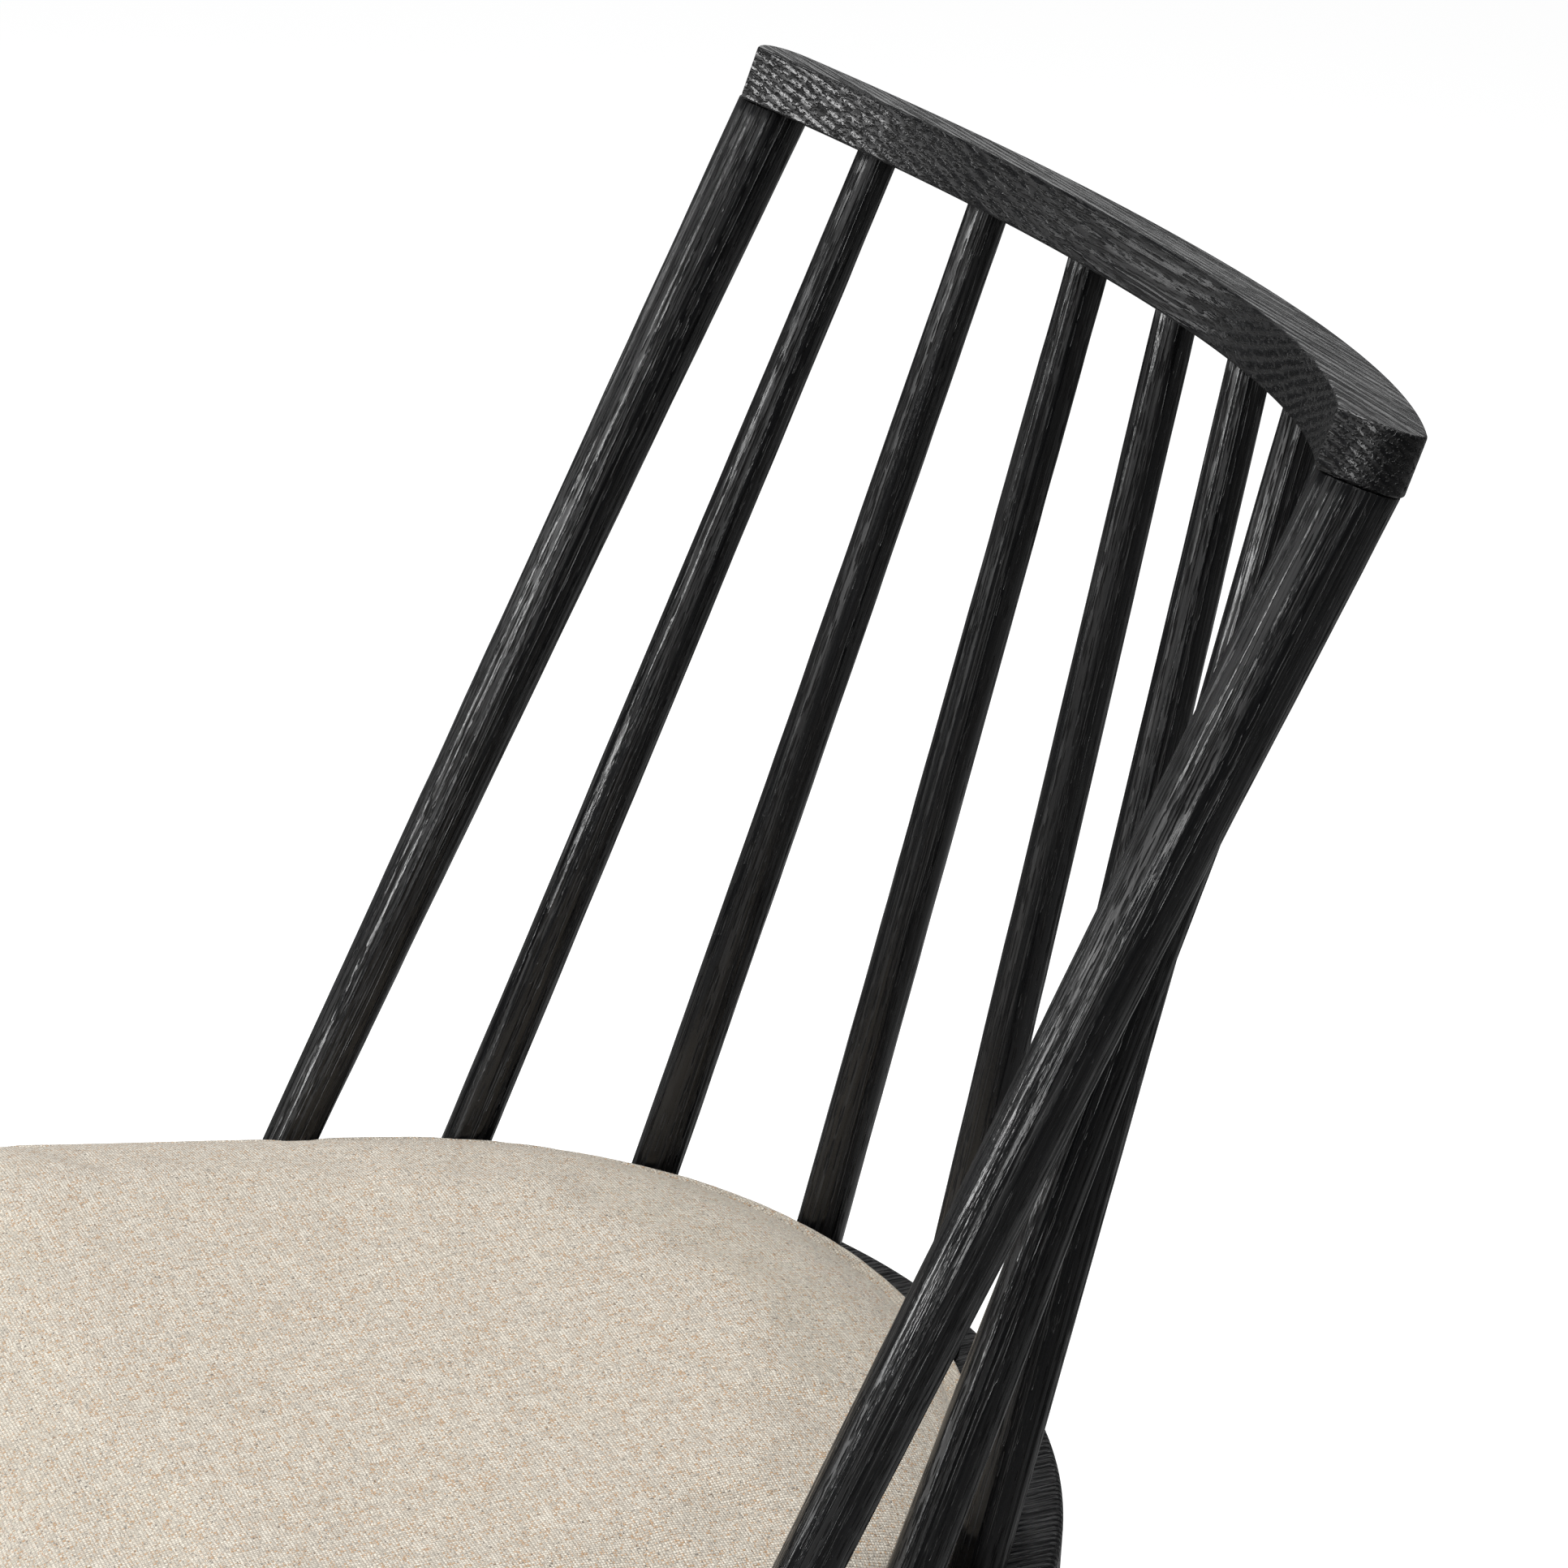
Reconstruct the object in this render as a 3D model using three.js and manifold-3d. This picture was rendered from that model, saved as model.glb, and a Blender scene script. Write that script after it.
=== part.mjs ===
// Spindle-back side chair with an upholstered seat pad. Units are millimetres, +Z is up.
// The chair faces -Y, its back is at +Y, and the sitter's left hand is at +X.
// Every wooden piece is one solid, joined to the next by a round tenon in a socket.

import * as THREE from 'three';
import { mergeVertices } from 'three/addons/utils/BufferGeometryUtils.js';
import Module from 'manifold-3d';

const wasm = await Module();
wasm.setup();

// Fits
const gap = 0.3;               // air between pieces that touch
const socketEndGap = 0.6;      // room past the end of a tenon
const overrun = 60;            // how far a tapered body runs on before its ends are cut

// Seat plank, drawn about the centre of its round back
const seatTop = 420;
const seatThickness = 28;
const seatBackRadius = 236;
const seatFlare = THREE.MathUtils.degToRad(18);
const seatCornerRadius = 92;
const seatCornerY = -85;
const seatFrontRadius = 700;
const seatEdgeRound = 4;

// Back sticks: seven spindles between two thick end posts
const spindleCount = 7;
const stickInset = 24.5;       // from the plank's round edge in to the circle of stick feet
const spindleFootStep = THREE.MathUtils.degToRad(21.35);
const postFootAngle = THREE.MathUtils.degToRad(83.4);
const spindleHeadStep = THREE.MathUtils.degToRad(8.15);
const postHeadAngle = THREE.MathUtils.degToRad(31.6);
const spindleFootRadius = 9.5;
const spindleHeadRadius = 7.7;
const spindleTenonRadius = 5.5;
const postFootRadius = 9.8;
const postHeadRadius = 13.6;
const postTenonRadius = 6.5;
const seatTenonLength = 18;
const crestTenonLength = 12;

// Crest rail, a flat sawn bow in a plane that tips back
const backHeight = 400;        // from the plank's top to the crest's underside at the middle
const backSetback = 70.7;      // how far behind its foot the middle spindle's head is
const crestTilt = THREE.MathUtils.degToRad(18.9);
const crestThickness = 20;
const crestHeadRadius = 402.8;   // circle on which the sticks meet the crest
const crestFrontRadius = 388.6;
const crestBackRadius = 416.9;
const crestWidth = 28.9;
const crestFrontEndX = 209.3;    // where the concave face ends
const crestBackEndX = 218.5;     // where the convex face ends
const crestNoseFront = { x: 16, v: 7.5 };
const crestNoseBack = { x: 12, v: -7 };
const crestEase = 0.8;

// Seat pad on its board
const padInset = 33;
const boardInset = 44;
const boardThickness = 12;
const boardEase = 1;
const padHeight = 46;
const padEdgeRound = 14;

// Legs, splayed and tapered
const legTopFront = { x: 180, y: -122 };
const legTopRear = { x: 125, y: 115 };
const legFootFront = { x: 224, y: -182 };
const legFootRear = { x: 188, y: 222 };
const legTopRadius = 18;
const legFootRadius = 12;
const legTenonRadius = 11;
const legTenonLength = 20;

// Stretchers: one along each side and one across
const stretcherHeight = 158;
const stretcherMidRadius = 10;
const stretcherEndRadius = 8;
const stretcherTenonRadius = 6;
const stretcherTenonDepth = 9;
const crossTenonRadius = 5;
const crossTenonDepth = 6;

// Glides: a nylon pad moulded round a nail's head
const glideRadius = 10;
const glideHeight = 6;
const glideEase = 1;
const nailRadius = 1.4;
const nailHeadRadius = 4;
const nailHeadThickness = 1.2;
const nailHeadLift = 2.2;
const nailLength = 20;

// Screws that hold the pad's board down through the plank
const screwPlaces = [{ x: 95, y: 55 }, { x: 95, y: -95 }];
const screwRadius = 2.2;
const screwHeadRadius = 4.5;
const screwHeadThickness = 3;
const screwSink = 7;           // depth of the counterbore
const screwBite = 8;           // how far the screw enters the board

// Facets
const roundSides = 20;
const smallSides = 12;
const arcSteps = 10;            // a round arc in an outline takes two facets for each

const seatUnder = seatTop - seatThickness;
const footCircleRadius = seatBackRadius - stickInset;

// Solids and meshes -------------------------------------------------------------------------

function toSolid(geometry) {
  const plain = geometry.index ? geometry.toNonIndexed() : geometry.clone();
  plain.deleteAttribute('normal');
  plain.deleteAttribute('uv');
  const merged = mergeVertices(plain, 1e-4);
  return new wasm.Manifold(new wasm.Mesh({
    numProp: 3,
    vertProperties: new Float32Array(merged.attributes.position.array),
    triVerts: new Uint32Array(merged.index.array),
  }));
}

function toGeometry(solid) {
  const mesh = solid.getMesh();
  const geometry = new THREE.BufferGeometry();
  const count = mesh.vertProperties.length / mesh.numProp;
  const points = new Float32Array(count * 3);
  for (let i = 0; i < count; i += 1) {
    for (let k = 0; k < 3; k += 1) points[3 * i + k] = mesh.vertProperties[mesh.numProp * i + k];
  }
  geometry.setAttribute('position', new THREE.BufferAttribute(points, 3));
  geometry.setIndex(new THREE.BufferAttribute(new Uint32Array(mesh.triVerts), 1));
  geometry.computeVertexNormals();
  return geometry;
}

// A bar turned between two points, whose radii are spaced evenly from the first to the second
function turnedBar(from, to, radii, sides = roundSides) {
  const axis = to.clone().sub(from);
  const step = axis.length() / (radii.length - 1);
  const profile = radii.map((radius, i) => new THREE.Vector2(radius, i * step));
  profile.unshift(new THREE.Vector2(0, 0));
  profile.push(new THREE.Vector2(0, axis.length()));
  const geometry = new THREE.LatheGeometry(profile, sides);
  geometry.applyQuaternion(new THREE.Quaternion().setFromUnitVectors(
    new THREE.Vector3(0, 1, 0), axis.normalize()));
  return toSolid(geometry.translate(from.x, from.y, from.z));
}

// A round bar or cone from one point to another
function bar(from, to, fromRadius, toRadius, sides) {
  return turnedBar(from, to, [fromRadius, toRadius], sides);
}

// Everything on the side of a plane that its normal points to
function beyond(point, normal) {
  const size = 2000;
  const geometry = new THREE.BoxGeometry(size, size, size).translate(0, 0, size / 2);
  geometry.applyQuaternion(new THREE.Quaternion().setFromUnitVectors(
    new THREE.Vector3(0, 0, 1), normal));
  return toSolid(geometry.translate(point.x, point.y, point.z));
}

// A point along a stick: 0 is its foot and 1 is its head, reach is in millimetres past it
function along(stick, t, reach = 0) {
  const axis = stick.head.clone().sub(stick.foot);
  return stick.foot.clone().addScaledVector(axis, t + reach / axis.length());
}

// The tapered body of a stick, run on past both ends, with an optional skin of air
function taper(stick, skin = 0) {
  const length = stick.head.distanceTo(stick.foot);
  const slope = (stick.headRadius - stick.footRadius) / length;
  return bar(along(stick, 0, -overrun), along(stick, 1, overrun),
    stick.footRadius + skin - slope * overrun, stick.headRadius + skin + slope * overrun);
}

const materials = {
  blackOak: { color: 0x1b1a1a, roughness: 0.5, metalness: 0 },
  fabric: { color: 0xcdc3b2, roughness: 0.95, metalness: 0 },
  plywood: { color: 0xb89a6c, roughness: 0.7, metalness: 0 },
  steel: { color: 0x9a9c9f, roughness: 0.35, metalness: 1 },
  nylon: { color: 0x2a2a2a, roughness: 0.6, metalness: 0 },
};

const chair = new THREE.Group();

function addPiece(name, material, geometry) {
  const mesh = new THREE.Mesh(geometry, new THREE.MeshStandardMaterial(materials[material]));
  mesh.name = name;
  chair.add(mesh);
}

// Outlines ----------------------------------------------------------------------------------

// The plank's outline drawn in by an inset: a round back, flared sides, round front corners
function seatShape(inset) {
  const cornerX = (seatBackRadius - seatCornerRadius - seatCornerY * Math.sin(seatFlare))
    / Math.cos(seatFlare);
  const reach = seatFrontRadius - seatCornerRadius;
  const frontCentreY = seatCornerY + Math.sqrt(reach ** 2 - cornerX ** 2);
  const frontHalf = Math.asin(cornerX / reach);
  const shape = new THREE.Shape();
  shape.absarc(0, 0, seatBackRadius - inset, seatFlare, Math.PI - seatFlare);
  shape.absarc(-cornerX, seatCornerY, seatCornerRadius - inset,
    Math.PI - seatFlare, 1.5 * Math.PI - frontHalf);
  shape.absarc(0, frontCentreY, seatFrontRadius - inset,
    1.5 * Math.PI - frontHalf, 1.5 * Math.PI + frontHalf);
  shape.absarc(cornerX, seatCornerY, seatCornerRadius - inset,
    1.5 * Math.PI + frontHalf, 2 * Math.PI + seatFlare);
  return shape;
}

// A slab with rounded edges between two heights, whose widest outline is the inset one
function roundedSlab(inset, bottom, top, edge, steps) {
  const geometry = new THREE.ExtrudeGeometry(seatShape(inset + edge), {
    depth: top - bottom - 2 * edge,
    curveSegments: arcSteps,
    bevelThickness: edge,
    bevelSize: edge,
    bevelSegments: steps,
  });
  return toSolid(geometry.translate(0, 0, bottom + edge));
}

// Back --------------------------------------------------------------------------------------

const crestNormal = new THREE.Vector3(0, Math.sin(crestTilt), Math.cos(crestTilt));
const crestBackward = new THREE.Vector3(0, Math.cos(crestTilt), -Math.sin(crestTilt));
const crestMiddle = new THREE.Vector3(0, footCircleRadius + backSetback, seatTop + backHeight);

function footPoint(angle) {
  return new THREE.Vector3(
    footCircleRadius * Math.sin(angle), footCircleRadius * Math.cos(angle), seatTop);
}

function headPoint(angle) {
  const point = crestMiddle.clone();
  point.x += crestHeadRadius * Math.sin(angle);
  return point.addScaledVector(crestBackward, -crestHeadRadius * (1 - Math.cos(angle)));
}

function backStick(name, footAngle, headAngle, radii) {
  return { name, foot: footPoint(footAngle), head: headPoint(headAngle), ...radii };
}

const spindleRadii = {
  footRadius: spindleFootRadius, headRadius: spindleHeadRadius, tenonRadius: spindleTenonRadius,
};
const postRadii = {
  footRadius: postFootRadius, headRadius: postHeadRadius, tenonRadius: postTenonRadius,
};
const backSticks = [
  backStick('end_post_right', -postFootAngle, -postHeadAngle, postRadii),
  backStick('end_post_left', postFootAngle, postHeadAngle, postRadii),
];
for (let i = 0; i < spindleCount; i += 1) {
  const step = i - (spindleCount - 1) / 2;
  backSticks.push(backStick(`back_spindle_${i + 1}`,
    step * spindleFootStep, step * spindleHeadStep, spindleRadii));
}

const aboveSeat = beyond(new THREE.Vector3(0, 0, seatTop + gap), new THREE.Vector3(0, 0, 1));
const belowCrest = beyond(crestMiddle.clone().addScaledVector(crestNormal, -gap),
  crestNormal.clone().negate());

for (const stick of backSticks) {
  const body = taper(stick).intersect(aboveSeat).intersect(belowCrest);
  const tenons = bar(along(stick, 0, -seatTenonLength), along(stick, 1, crestTenonLength),
    stick.tenonRadius, stick.tenonRadius, smallSides);
  addPiece(stick.name, 'blackOak', toGeometry(body.add(tenons)));
}

function crestShape() {
  const frontApex = -crestWidth / 2;
  const backApex = crestWidth / 2;
  const frontEnd = Math.asin(crestFrontEndX / crestFrontRadius);
  const backEnd = Math.asin(crestBackEndX / crestBackRadius);
  const frontEndV = frontApex - crestFrontRadius * (1 - Math.cos(frontEnd));
  const backEndV = backApex - crestBackRadius * (1 - Math.cos(backEnd));
  const shape = new THREE.Shape();
  shape.absarc(0, backApex - crestBackRadius, crestBackRadius,
    Math.PI / 2 - backEnd, Math.PI / 2 + backEnd);
  shape.bezierCurveTo(-crestBackEndX - crestNoseBack.x, backEndV + crestNoseBack.v,
    -crestFrontEndX - crestNoseFront.x, frontEndV + crestNoseFront.v, -crestFrontEndX, frontEndV);
  shape.absarc(0, frontApex - crestFrontRadius, crestFrontRadius,
    Math.PI / 2 + frontEnd, Math.PI / 2 - frontEnd, true);
  shape.bezierCurveTo(crestFrontEndX + crestNoseFront.x, frontEndV + crestNoseFront.v,
    crestBackEndX + crestNoseBack.x, backEndV + crestNoseBack.v, crestBackEndX, backEndV);
  return shape;
}

const crestBlank = new THREE.ExtrudeGeometry(crestShape(), {
  depth: crestThickness - 2 * crestEase,
  curveSegments: arcSteps,
  bevelThickness: crestEase,
  bevelSize: crestEase,
  bevelOffset: -crestEase,
  bevelSegments: 1,
});
crestBlank.translate(0, 0, crestEase).rotateX(-crestTilt);
crestBlank.translate(crestMiddle.x, crestMiddle.y, crestMiddle.z);
let crest = toSolid(crestBlank);
for (const stick of backSticks) {
  crest = crest.subtract(bar(along(stick, 1, -overrun / 2),
    along(stick, 1, crestTenonLength + socketEndGap),
    stick.tenonRadius + gap, stick.tenonRadius + gap, smallSides));
}
addPiece('crest_rail', 'blackOak', toGeometry(crest));

// Legs and stretchers -----------------------------------------------------------------------

function leg(name, side, top, foot) {
  return {
    name,
    foot: new THREE.Vector3(side * foot.x, foot.y, glideHeight + gap),
    head: new THREE.Vector3(side * top.x, top.y, seatUnder),
    footRadius: legFootRadius,
    headRadius: legTopRadius,
  };
}

const sides = [{ name: 'left', sign: 1 }, { name: 'right', sign: -1 }];
const legs = [];
const stretchers = [];
for (const side of sides) {
  const front = leg(`leg_front_${side.name}`, side.sign, legTopFront, legFootFront);
  const rear = leg(`leg_rear_${side.name}`, side.sign, legTopRear, legFootRear);
  legs.push(front, rear);
  stretchers.push({ name: `side_stretcher_${side.name}`, ends: [front, rear] });
}

// The place on a leg's axis at the height of the stretchers
function atStretcher(stick) {
  const rise = (stretcherHeight - stick.foot.z) / (stick.head.z - stick.foot.z);
  return along(stick, rise);
}

// A bar that swells towards its middle, from one point to another, with an optional skin of air
function swelled(from, to, skin = 0) {
  const radii = [stretcherEndRadius, stretcherMidRadius, stretcherEndRadius];
  return turnedBar(from, to, radii.map((radius) => radius + skin));
}

const underSeat = beyond(new THREE.Vector3(0, 0, seatUnder - gap), new THREE.Vector3(0, 0, -1));
const aboveGlide = beyond(new THREE.Vector3(0, 0, glideHeight + gap), new THREE.Vector3(0, 0, 1));

// A tenon runs from a depth inside one end to the same depth inside the other
function tenonBar(from, to, radius, depth) {
  const axis = to.clone().sub(from).normalize();
  return bar(from.clone().addScaledVector(axis, -depth), to.clone().addScaledVector(axis, depth),
    radius, radius, smallSides);
}

const sideMiddles = [];
const sideSockets = [];
for (const stretcher of stretchers) {
  const [from, to] = stretcher.ends.map(atStretcher);
  const axis = to.clone().sub(from).normalize();
  stretcher.from = from;
  stretcher.to = to;
  stretcher.body = swelled(from, to);
  // The tenons stop a named depth inside each leg's near face
  const inset = legRadiusAt(stretcher.ends[0]) - stretcherTenonDepth;
  stretcher.tenonFrom = from.clone().addScaledVector(axis, inset);
  stretcher.tenonTo = to.clone().addScaledVector(axis, -inset);
  sideSockets.push(tenonBar(stretcher.tenonFrom, stretcher.tenonTo,
    stretcherTenonRadius + gap, socketEndGap));
  sideMiddles.push(from.clone().add(to).multiplyScalar(0.5));
}

function legRadiusAt(stick) {
  const rise = (stretcherHeight - stick.foot.z) / (stick.head.z - stick.foot.z);
  return stick.footRadius + (stick.headRadius - stick.footRadius) * rise;
}

const crossInset = stretcherMidRadius - crossTenonDepth;
const crossAxis = sideMiddles[1].clone().sub(sideMiddles[0]).normalize();
const crossFrom = sideMiddles[0].clone().addScaledVector(crossAxis, crossInset);
const crossTo = sideMiddles[1].clone().addScaledVector(crossAxis, -crossInset);
const crossSocket = tenonBar(crossFrom, crossTo, crossTenonRadius + gap, socketEndGap);

for (const stretcher of stretchers) {
  let body = stretcher.body;
  for (const end of stretcher.ends) body = body.subtract(taper(end, gap));
  body = body.add(tenonBar(stretcher.tenonFrom, stretcher.tenonTo, stretcherTenonRadius, 0));
  addPiece(stretcher.name, 'blackOak', toGeometry(body.subtract(crossSocket)));
}

let cross = swelled(sideMiddles[0], sideMiddles[1]);
for (const stretcher of stretchers) {
  cross = cross.subtract(swelled(stretcher.from, stretcher.to, gap));
}
cross = cross.add(tenonBar(crossFrom, crossTo, crossTenonRadius, 0));
addPiece('cross_stretcher', 'blackOak', toGeometry(cross));

for (const [i, stick] of legs.entries()) {
  const body = taper(stick).intersect(underSeat).intersect(aboveGlide);
  const tenon = bar(along(stick, 0.5), along(stick, 1, legTenonLength),
    legTenonRadius, legTenonRadius);
  const nailHole = bar(new THREE.Vector3(stick.foot.x, stick.foot.y, 0),
    new THREE.Vector3(stick.foot.x, stick.foot.y, nailHeadLift + nailLength + socketEndGap),
    nailRadius + gap, nailRadius + gap, smallSides);
  const solid = body.add(tenon).subtract(sideSockets[Math.floor(i / 2)]).subtract(nailHole);
  addPiece(stick.name, 'blackOak', toGeometry(solid));
}

// Glides ------------------------------------------------------------------------------------

// A closed profile turned about Z, given as radius and height pairs
function turned(profile) {
  const points = profile.map(([radius, height]) => new THREE.Vector2(radius, height));
  return toSolid(new THREE.LatheGeometry(points, smallSides).rotateX(Math.PI / 2));
}

const headPocketTop = nailHeadLift + nailHeadThickness + gap;
const glidePad = turned([
  [0, 0], [glideRadius - glideEase, 0], [glideRadius, glideEase],
  [glideRadius, glideHeight - glideEase], [glideRadius - glideEase, glideHeight],
  [nailRadius + gap, glideHeight], [nailRadius + gap, headPocketTop],
  [nailHeadRadius + gap, headPocketTop], [nailHeadRadius + gap, nailHeadLift - gap],
  [0, nailHeadLift - gap],
]);
const glideNail = turned([
  [0, nailHeadLift], [nailHeadRadius, nailHeadLift],
  [nailHeadRadius, nailHeadLift + nailHeadThickness],
  [nailRadius, nailHeadLift + nailHeadThickness], [nailRadius, nailLength],
  [0, nailLength + nailHeadLift],
]);

for (const stick of legs) {
  const place = stick.name.replace('leg_', '');
  addPiece(`glide_pad_${place}`, 'nylon',
    toGeometry(glidePad.translate([stick.foot.x, stick.foot.y, 0])));
  addPiece(`glide_nail_${place}`, 'steel',
    toGeometry(glideNail.translate([stick.foot.x, stick.foot.y, 0])));
}

// Seat --------------------------------------------------------------------------------------

const boardBottom = seatTop + gap;
const boardTop = boardBottom + boardThickness;
const screwHeadTop = seatUnder + screwSink;
const screws = [];
for (const side of sides) {
  for (const place of screwPlaces) screws.push({ x: side.sign * place.x, y: place.y });
}

function uprightBar(place, bottom, top, radius) {
  return bar(new THREE.Vector3(place.x, place.y, bottom),
    new THREE.Vector3(place.x, place.y, top), radius, radius, smallSides);
}

let plank = roundedSlab(0, seatUnder, seatTop, seatEdgeRound, 2);
for (const stick of backSticks) {
  plank = plank.subtract(bar(along(stick, 0, -seatTenonLength - socketEndGap),
    along(stick, 0, overrun / 2), stick.tenonRadius + gap, stick.tenonRadius + gap, smallSides));
}
for (const stick of legs) {
  plank = plank.subtract(bar(along(stick, 1, -overrun / 2),
    along(stick, 1, legTenonLength + socketEndGap), legTenonRadius + gap, legTenonRadius + gap));
}
for (const screw of screws) {
  plank = plank.subtract(uprightBar(screw, seatUnder - 1, seatTop + 1, screwRadius + gap));
  plank = plank.subtract(uprightBar(screw, seatUnder - 1, screwHeadTop, screwHeadRadius + gap));
}
addPiece('seat_plank', 'blackOak', toGeometry(plank));

let board = roundedSlab(boardInset, boardBottom, boardTop, boardEase, 1);
for (const [i, screw] of screws.entries()) {
  const screwTop = boardBottom + screwBite;
  board = board.subtract(
    uprightBar(screw, boardBottom - 1, screwTop + socketEndGap, screwRadius + gap));
  const shank = uprightBar(screw, screwHeadTop - gap - 1, screwTop, screwRadius);
  const head = uprightBar(screw, screwHeadTop - gap - screwHeadThickness, screwHeadTop - gap,
    screwHeadRadius);
  addPiece(`pad_screw_${i + 1}`, 'steel', toGeometry(shank.add(head)));
}
addPiece('pad_board', 'plywood', toGeometry(board));

// The pad's sides come down round the board to the plank and give way where a stick presses in
const boardRoom = roundedSlab(boardInset - gap, seatTop - boardEase, boardTop + gap, boardEase, 1);
let pad = roundedSlab(padInset, seatTop - padEdgeRound, seatTop + padHeight, padEdgeRound, 3)
  .intersect(aboveSeat).subtract(boardRoom);
for (const stick of backSticks) pad = pad.subtract(taper(stick, gap));
addPiece('seat_pad', 'fabric', toGeometry(pad));

// Stand the chair on Z = 0 with its outer box centred on the Z axis
const box = new THREE.Box3().setFromObject(chair);
chair.position.set(-(box.min.x + box.max.x) / 2, -(box.min.y + box.max.y) / 2, -box.min.z);

export default chair;
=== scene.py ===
# A black-stained oak spindle-back side chair with an oatmeal seat pad, finished round its frame.
# Metres, +Z up. The chair faces -Y, its back is at +Y and +X is the sitter's left.
import math

import bmesh
import bpy
import numpy as np
from mathutils import Matrix, Vector
from mathutils.kdtree import KDTree


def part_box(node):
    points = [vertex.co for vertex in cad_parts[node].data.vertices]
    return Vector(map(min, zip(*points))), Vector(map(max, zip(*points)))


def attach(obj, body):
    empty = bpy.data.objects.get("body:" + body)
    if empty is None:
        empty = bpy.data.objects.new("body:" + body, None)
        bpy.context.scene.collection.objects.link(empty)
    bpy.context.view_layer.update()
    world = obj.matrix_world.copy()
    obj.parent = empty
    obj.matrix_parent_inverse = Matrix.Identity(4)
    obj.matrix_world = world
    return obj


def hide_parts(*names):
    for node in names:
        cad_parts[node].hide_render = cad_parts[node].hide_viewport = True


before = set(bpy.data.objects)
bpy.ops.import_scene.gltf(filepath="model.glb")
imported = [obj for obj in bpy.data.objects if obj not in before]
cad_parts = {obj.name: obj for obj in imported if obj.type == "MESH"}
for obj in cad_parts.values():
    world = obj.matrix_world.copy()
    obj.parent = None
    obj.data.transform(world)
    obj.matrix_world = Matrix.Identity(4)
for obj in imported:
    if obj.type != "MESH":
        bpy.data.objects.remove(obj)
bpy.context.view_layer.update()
scene = bpy.context.scene
mm = 0.001
rng = np.random.default_rng(20)

# What every joint and fit on the chair has in common
fits = {
    "gap": 0.3 * mm,           # air between pieces that touch
    "socketEnd": 0.6 * mm,     # room past the end of a tenon
    "ease": 0.5 * mm,          # the broken edge on a turned piece's end
    "chamfer": 1.0 * mm,       # the same on the end of a tenon
    "nearEnd": 1.0 * mm,       # how near a corner is that counts as on a bar's end
    "onFace": 0.1 * mm,        # the same for a corner on a flat face
    "past": 50 * mm,           # well past a bar's end
}

# A long lens over the sitter's left side, close in on the back and the rear half of the seat
camera = {
    "place": (1.34039, -0.55416, 1.32552),
    "azimuth": 64.299,
    "elevation": 23.994,
    "roll": 2.446,
    "lens": 108.245,
    "sensor": 36.0,
    "clip": (0.05, 60),
}


def setCamera(c):
    az, el, roll = (math.radians(c[k]) for k in ("azimuth", "elevation", "roll"))
    ahead = Vector((-math.sin(az) * math.cos(el), math.cos(az) * math.cos(el), -math.sin(el)))
    right = Vector((math.cos(az), math.sin(az), 0))
    up = right.cross(ahead)
    rolledRight = math.cos(roll) * right + math.sin(roll) * up
    rolledUp = math.cos(roll) * up - math.sin(roll) * right
    data = bpy.data.cameras.new("camera")
    data.lens = c["lens"]
    data.sensor_width = c["sensor"]
    data.clip_start, data.clip_end = c["clip"]
    cam = bpy.data.objects.new("camera", data)
    axes = Matrix((rolledRight, rolledUp, -ahead)).transposed().to_4x4()
    cam.matrix_world = Matrix.Translation(Vector(c["place"])) @ axes
    scene.collection.objects.link(cam)
    scene.camera = cam


setCamera(camera)
print("camera set")


# Shader maths as plain expressions: a Wire is one output socket
class Wire:
    def __init__(self, sheet, socket):
        self.sheet = sheet
        self.socket = socket

    def maths(self, operation, *values):
        return self.sheet.node("ShaderNodeMath", {"operation": operation}, values)

    def __add__(self, other):
        return self.maths("ADD", self, other)

    def __sub__(self, other):
        return self.maths("SUBTRACT", self, other)

    def __rsub__(self, other):
        return self.maths("SUBTRACT", other, self)

    def __mul__(self, other):
        return self.maths("MULTIPLY", self, other)

    def __truediv__(self, other):
        return self.maths("DIVIDE", self, other)

    def __rtruediv__(self, other):
        return self.maths("DIVIDE", other, self)

    def __pow__(self, other):
        return self.maths("POWER", self, other)

    def __rpow__(self, other):
        return self.maths("POWER", other, self)

    __radd__ = __add__
    __rmul__ = __mul__

    # Another output of the same node
    def output(self, name):
        return Wire(self.sheet, self.socket.node.outputs[name])

    def call(self, operation):
        return self.maths(operation, self)

    # 0 below low, 1 above high, with a soft step between; low may be the larger one
    def step(self, low, high):
        return self.sheet.node(
            "ShaderNodeMapRange", {"interpolation_type": "SMOOTHSTEP"},
            {"Value": self, "From Min": low, "From Max": high})


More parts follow.
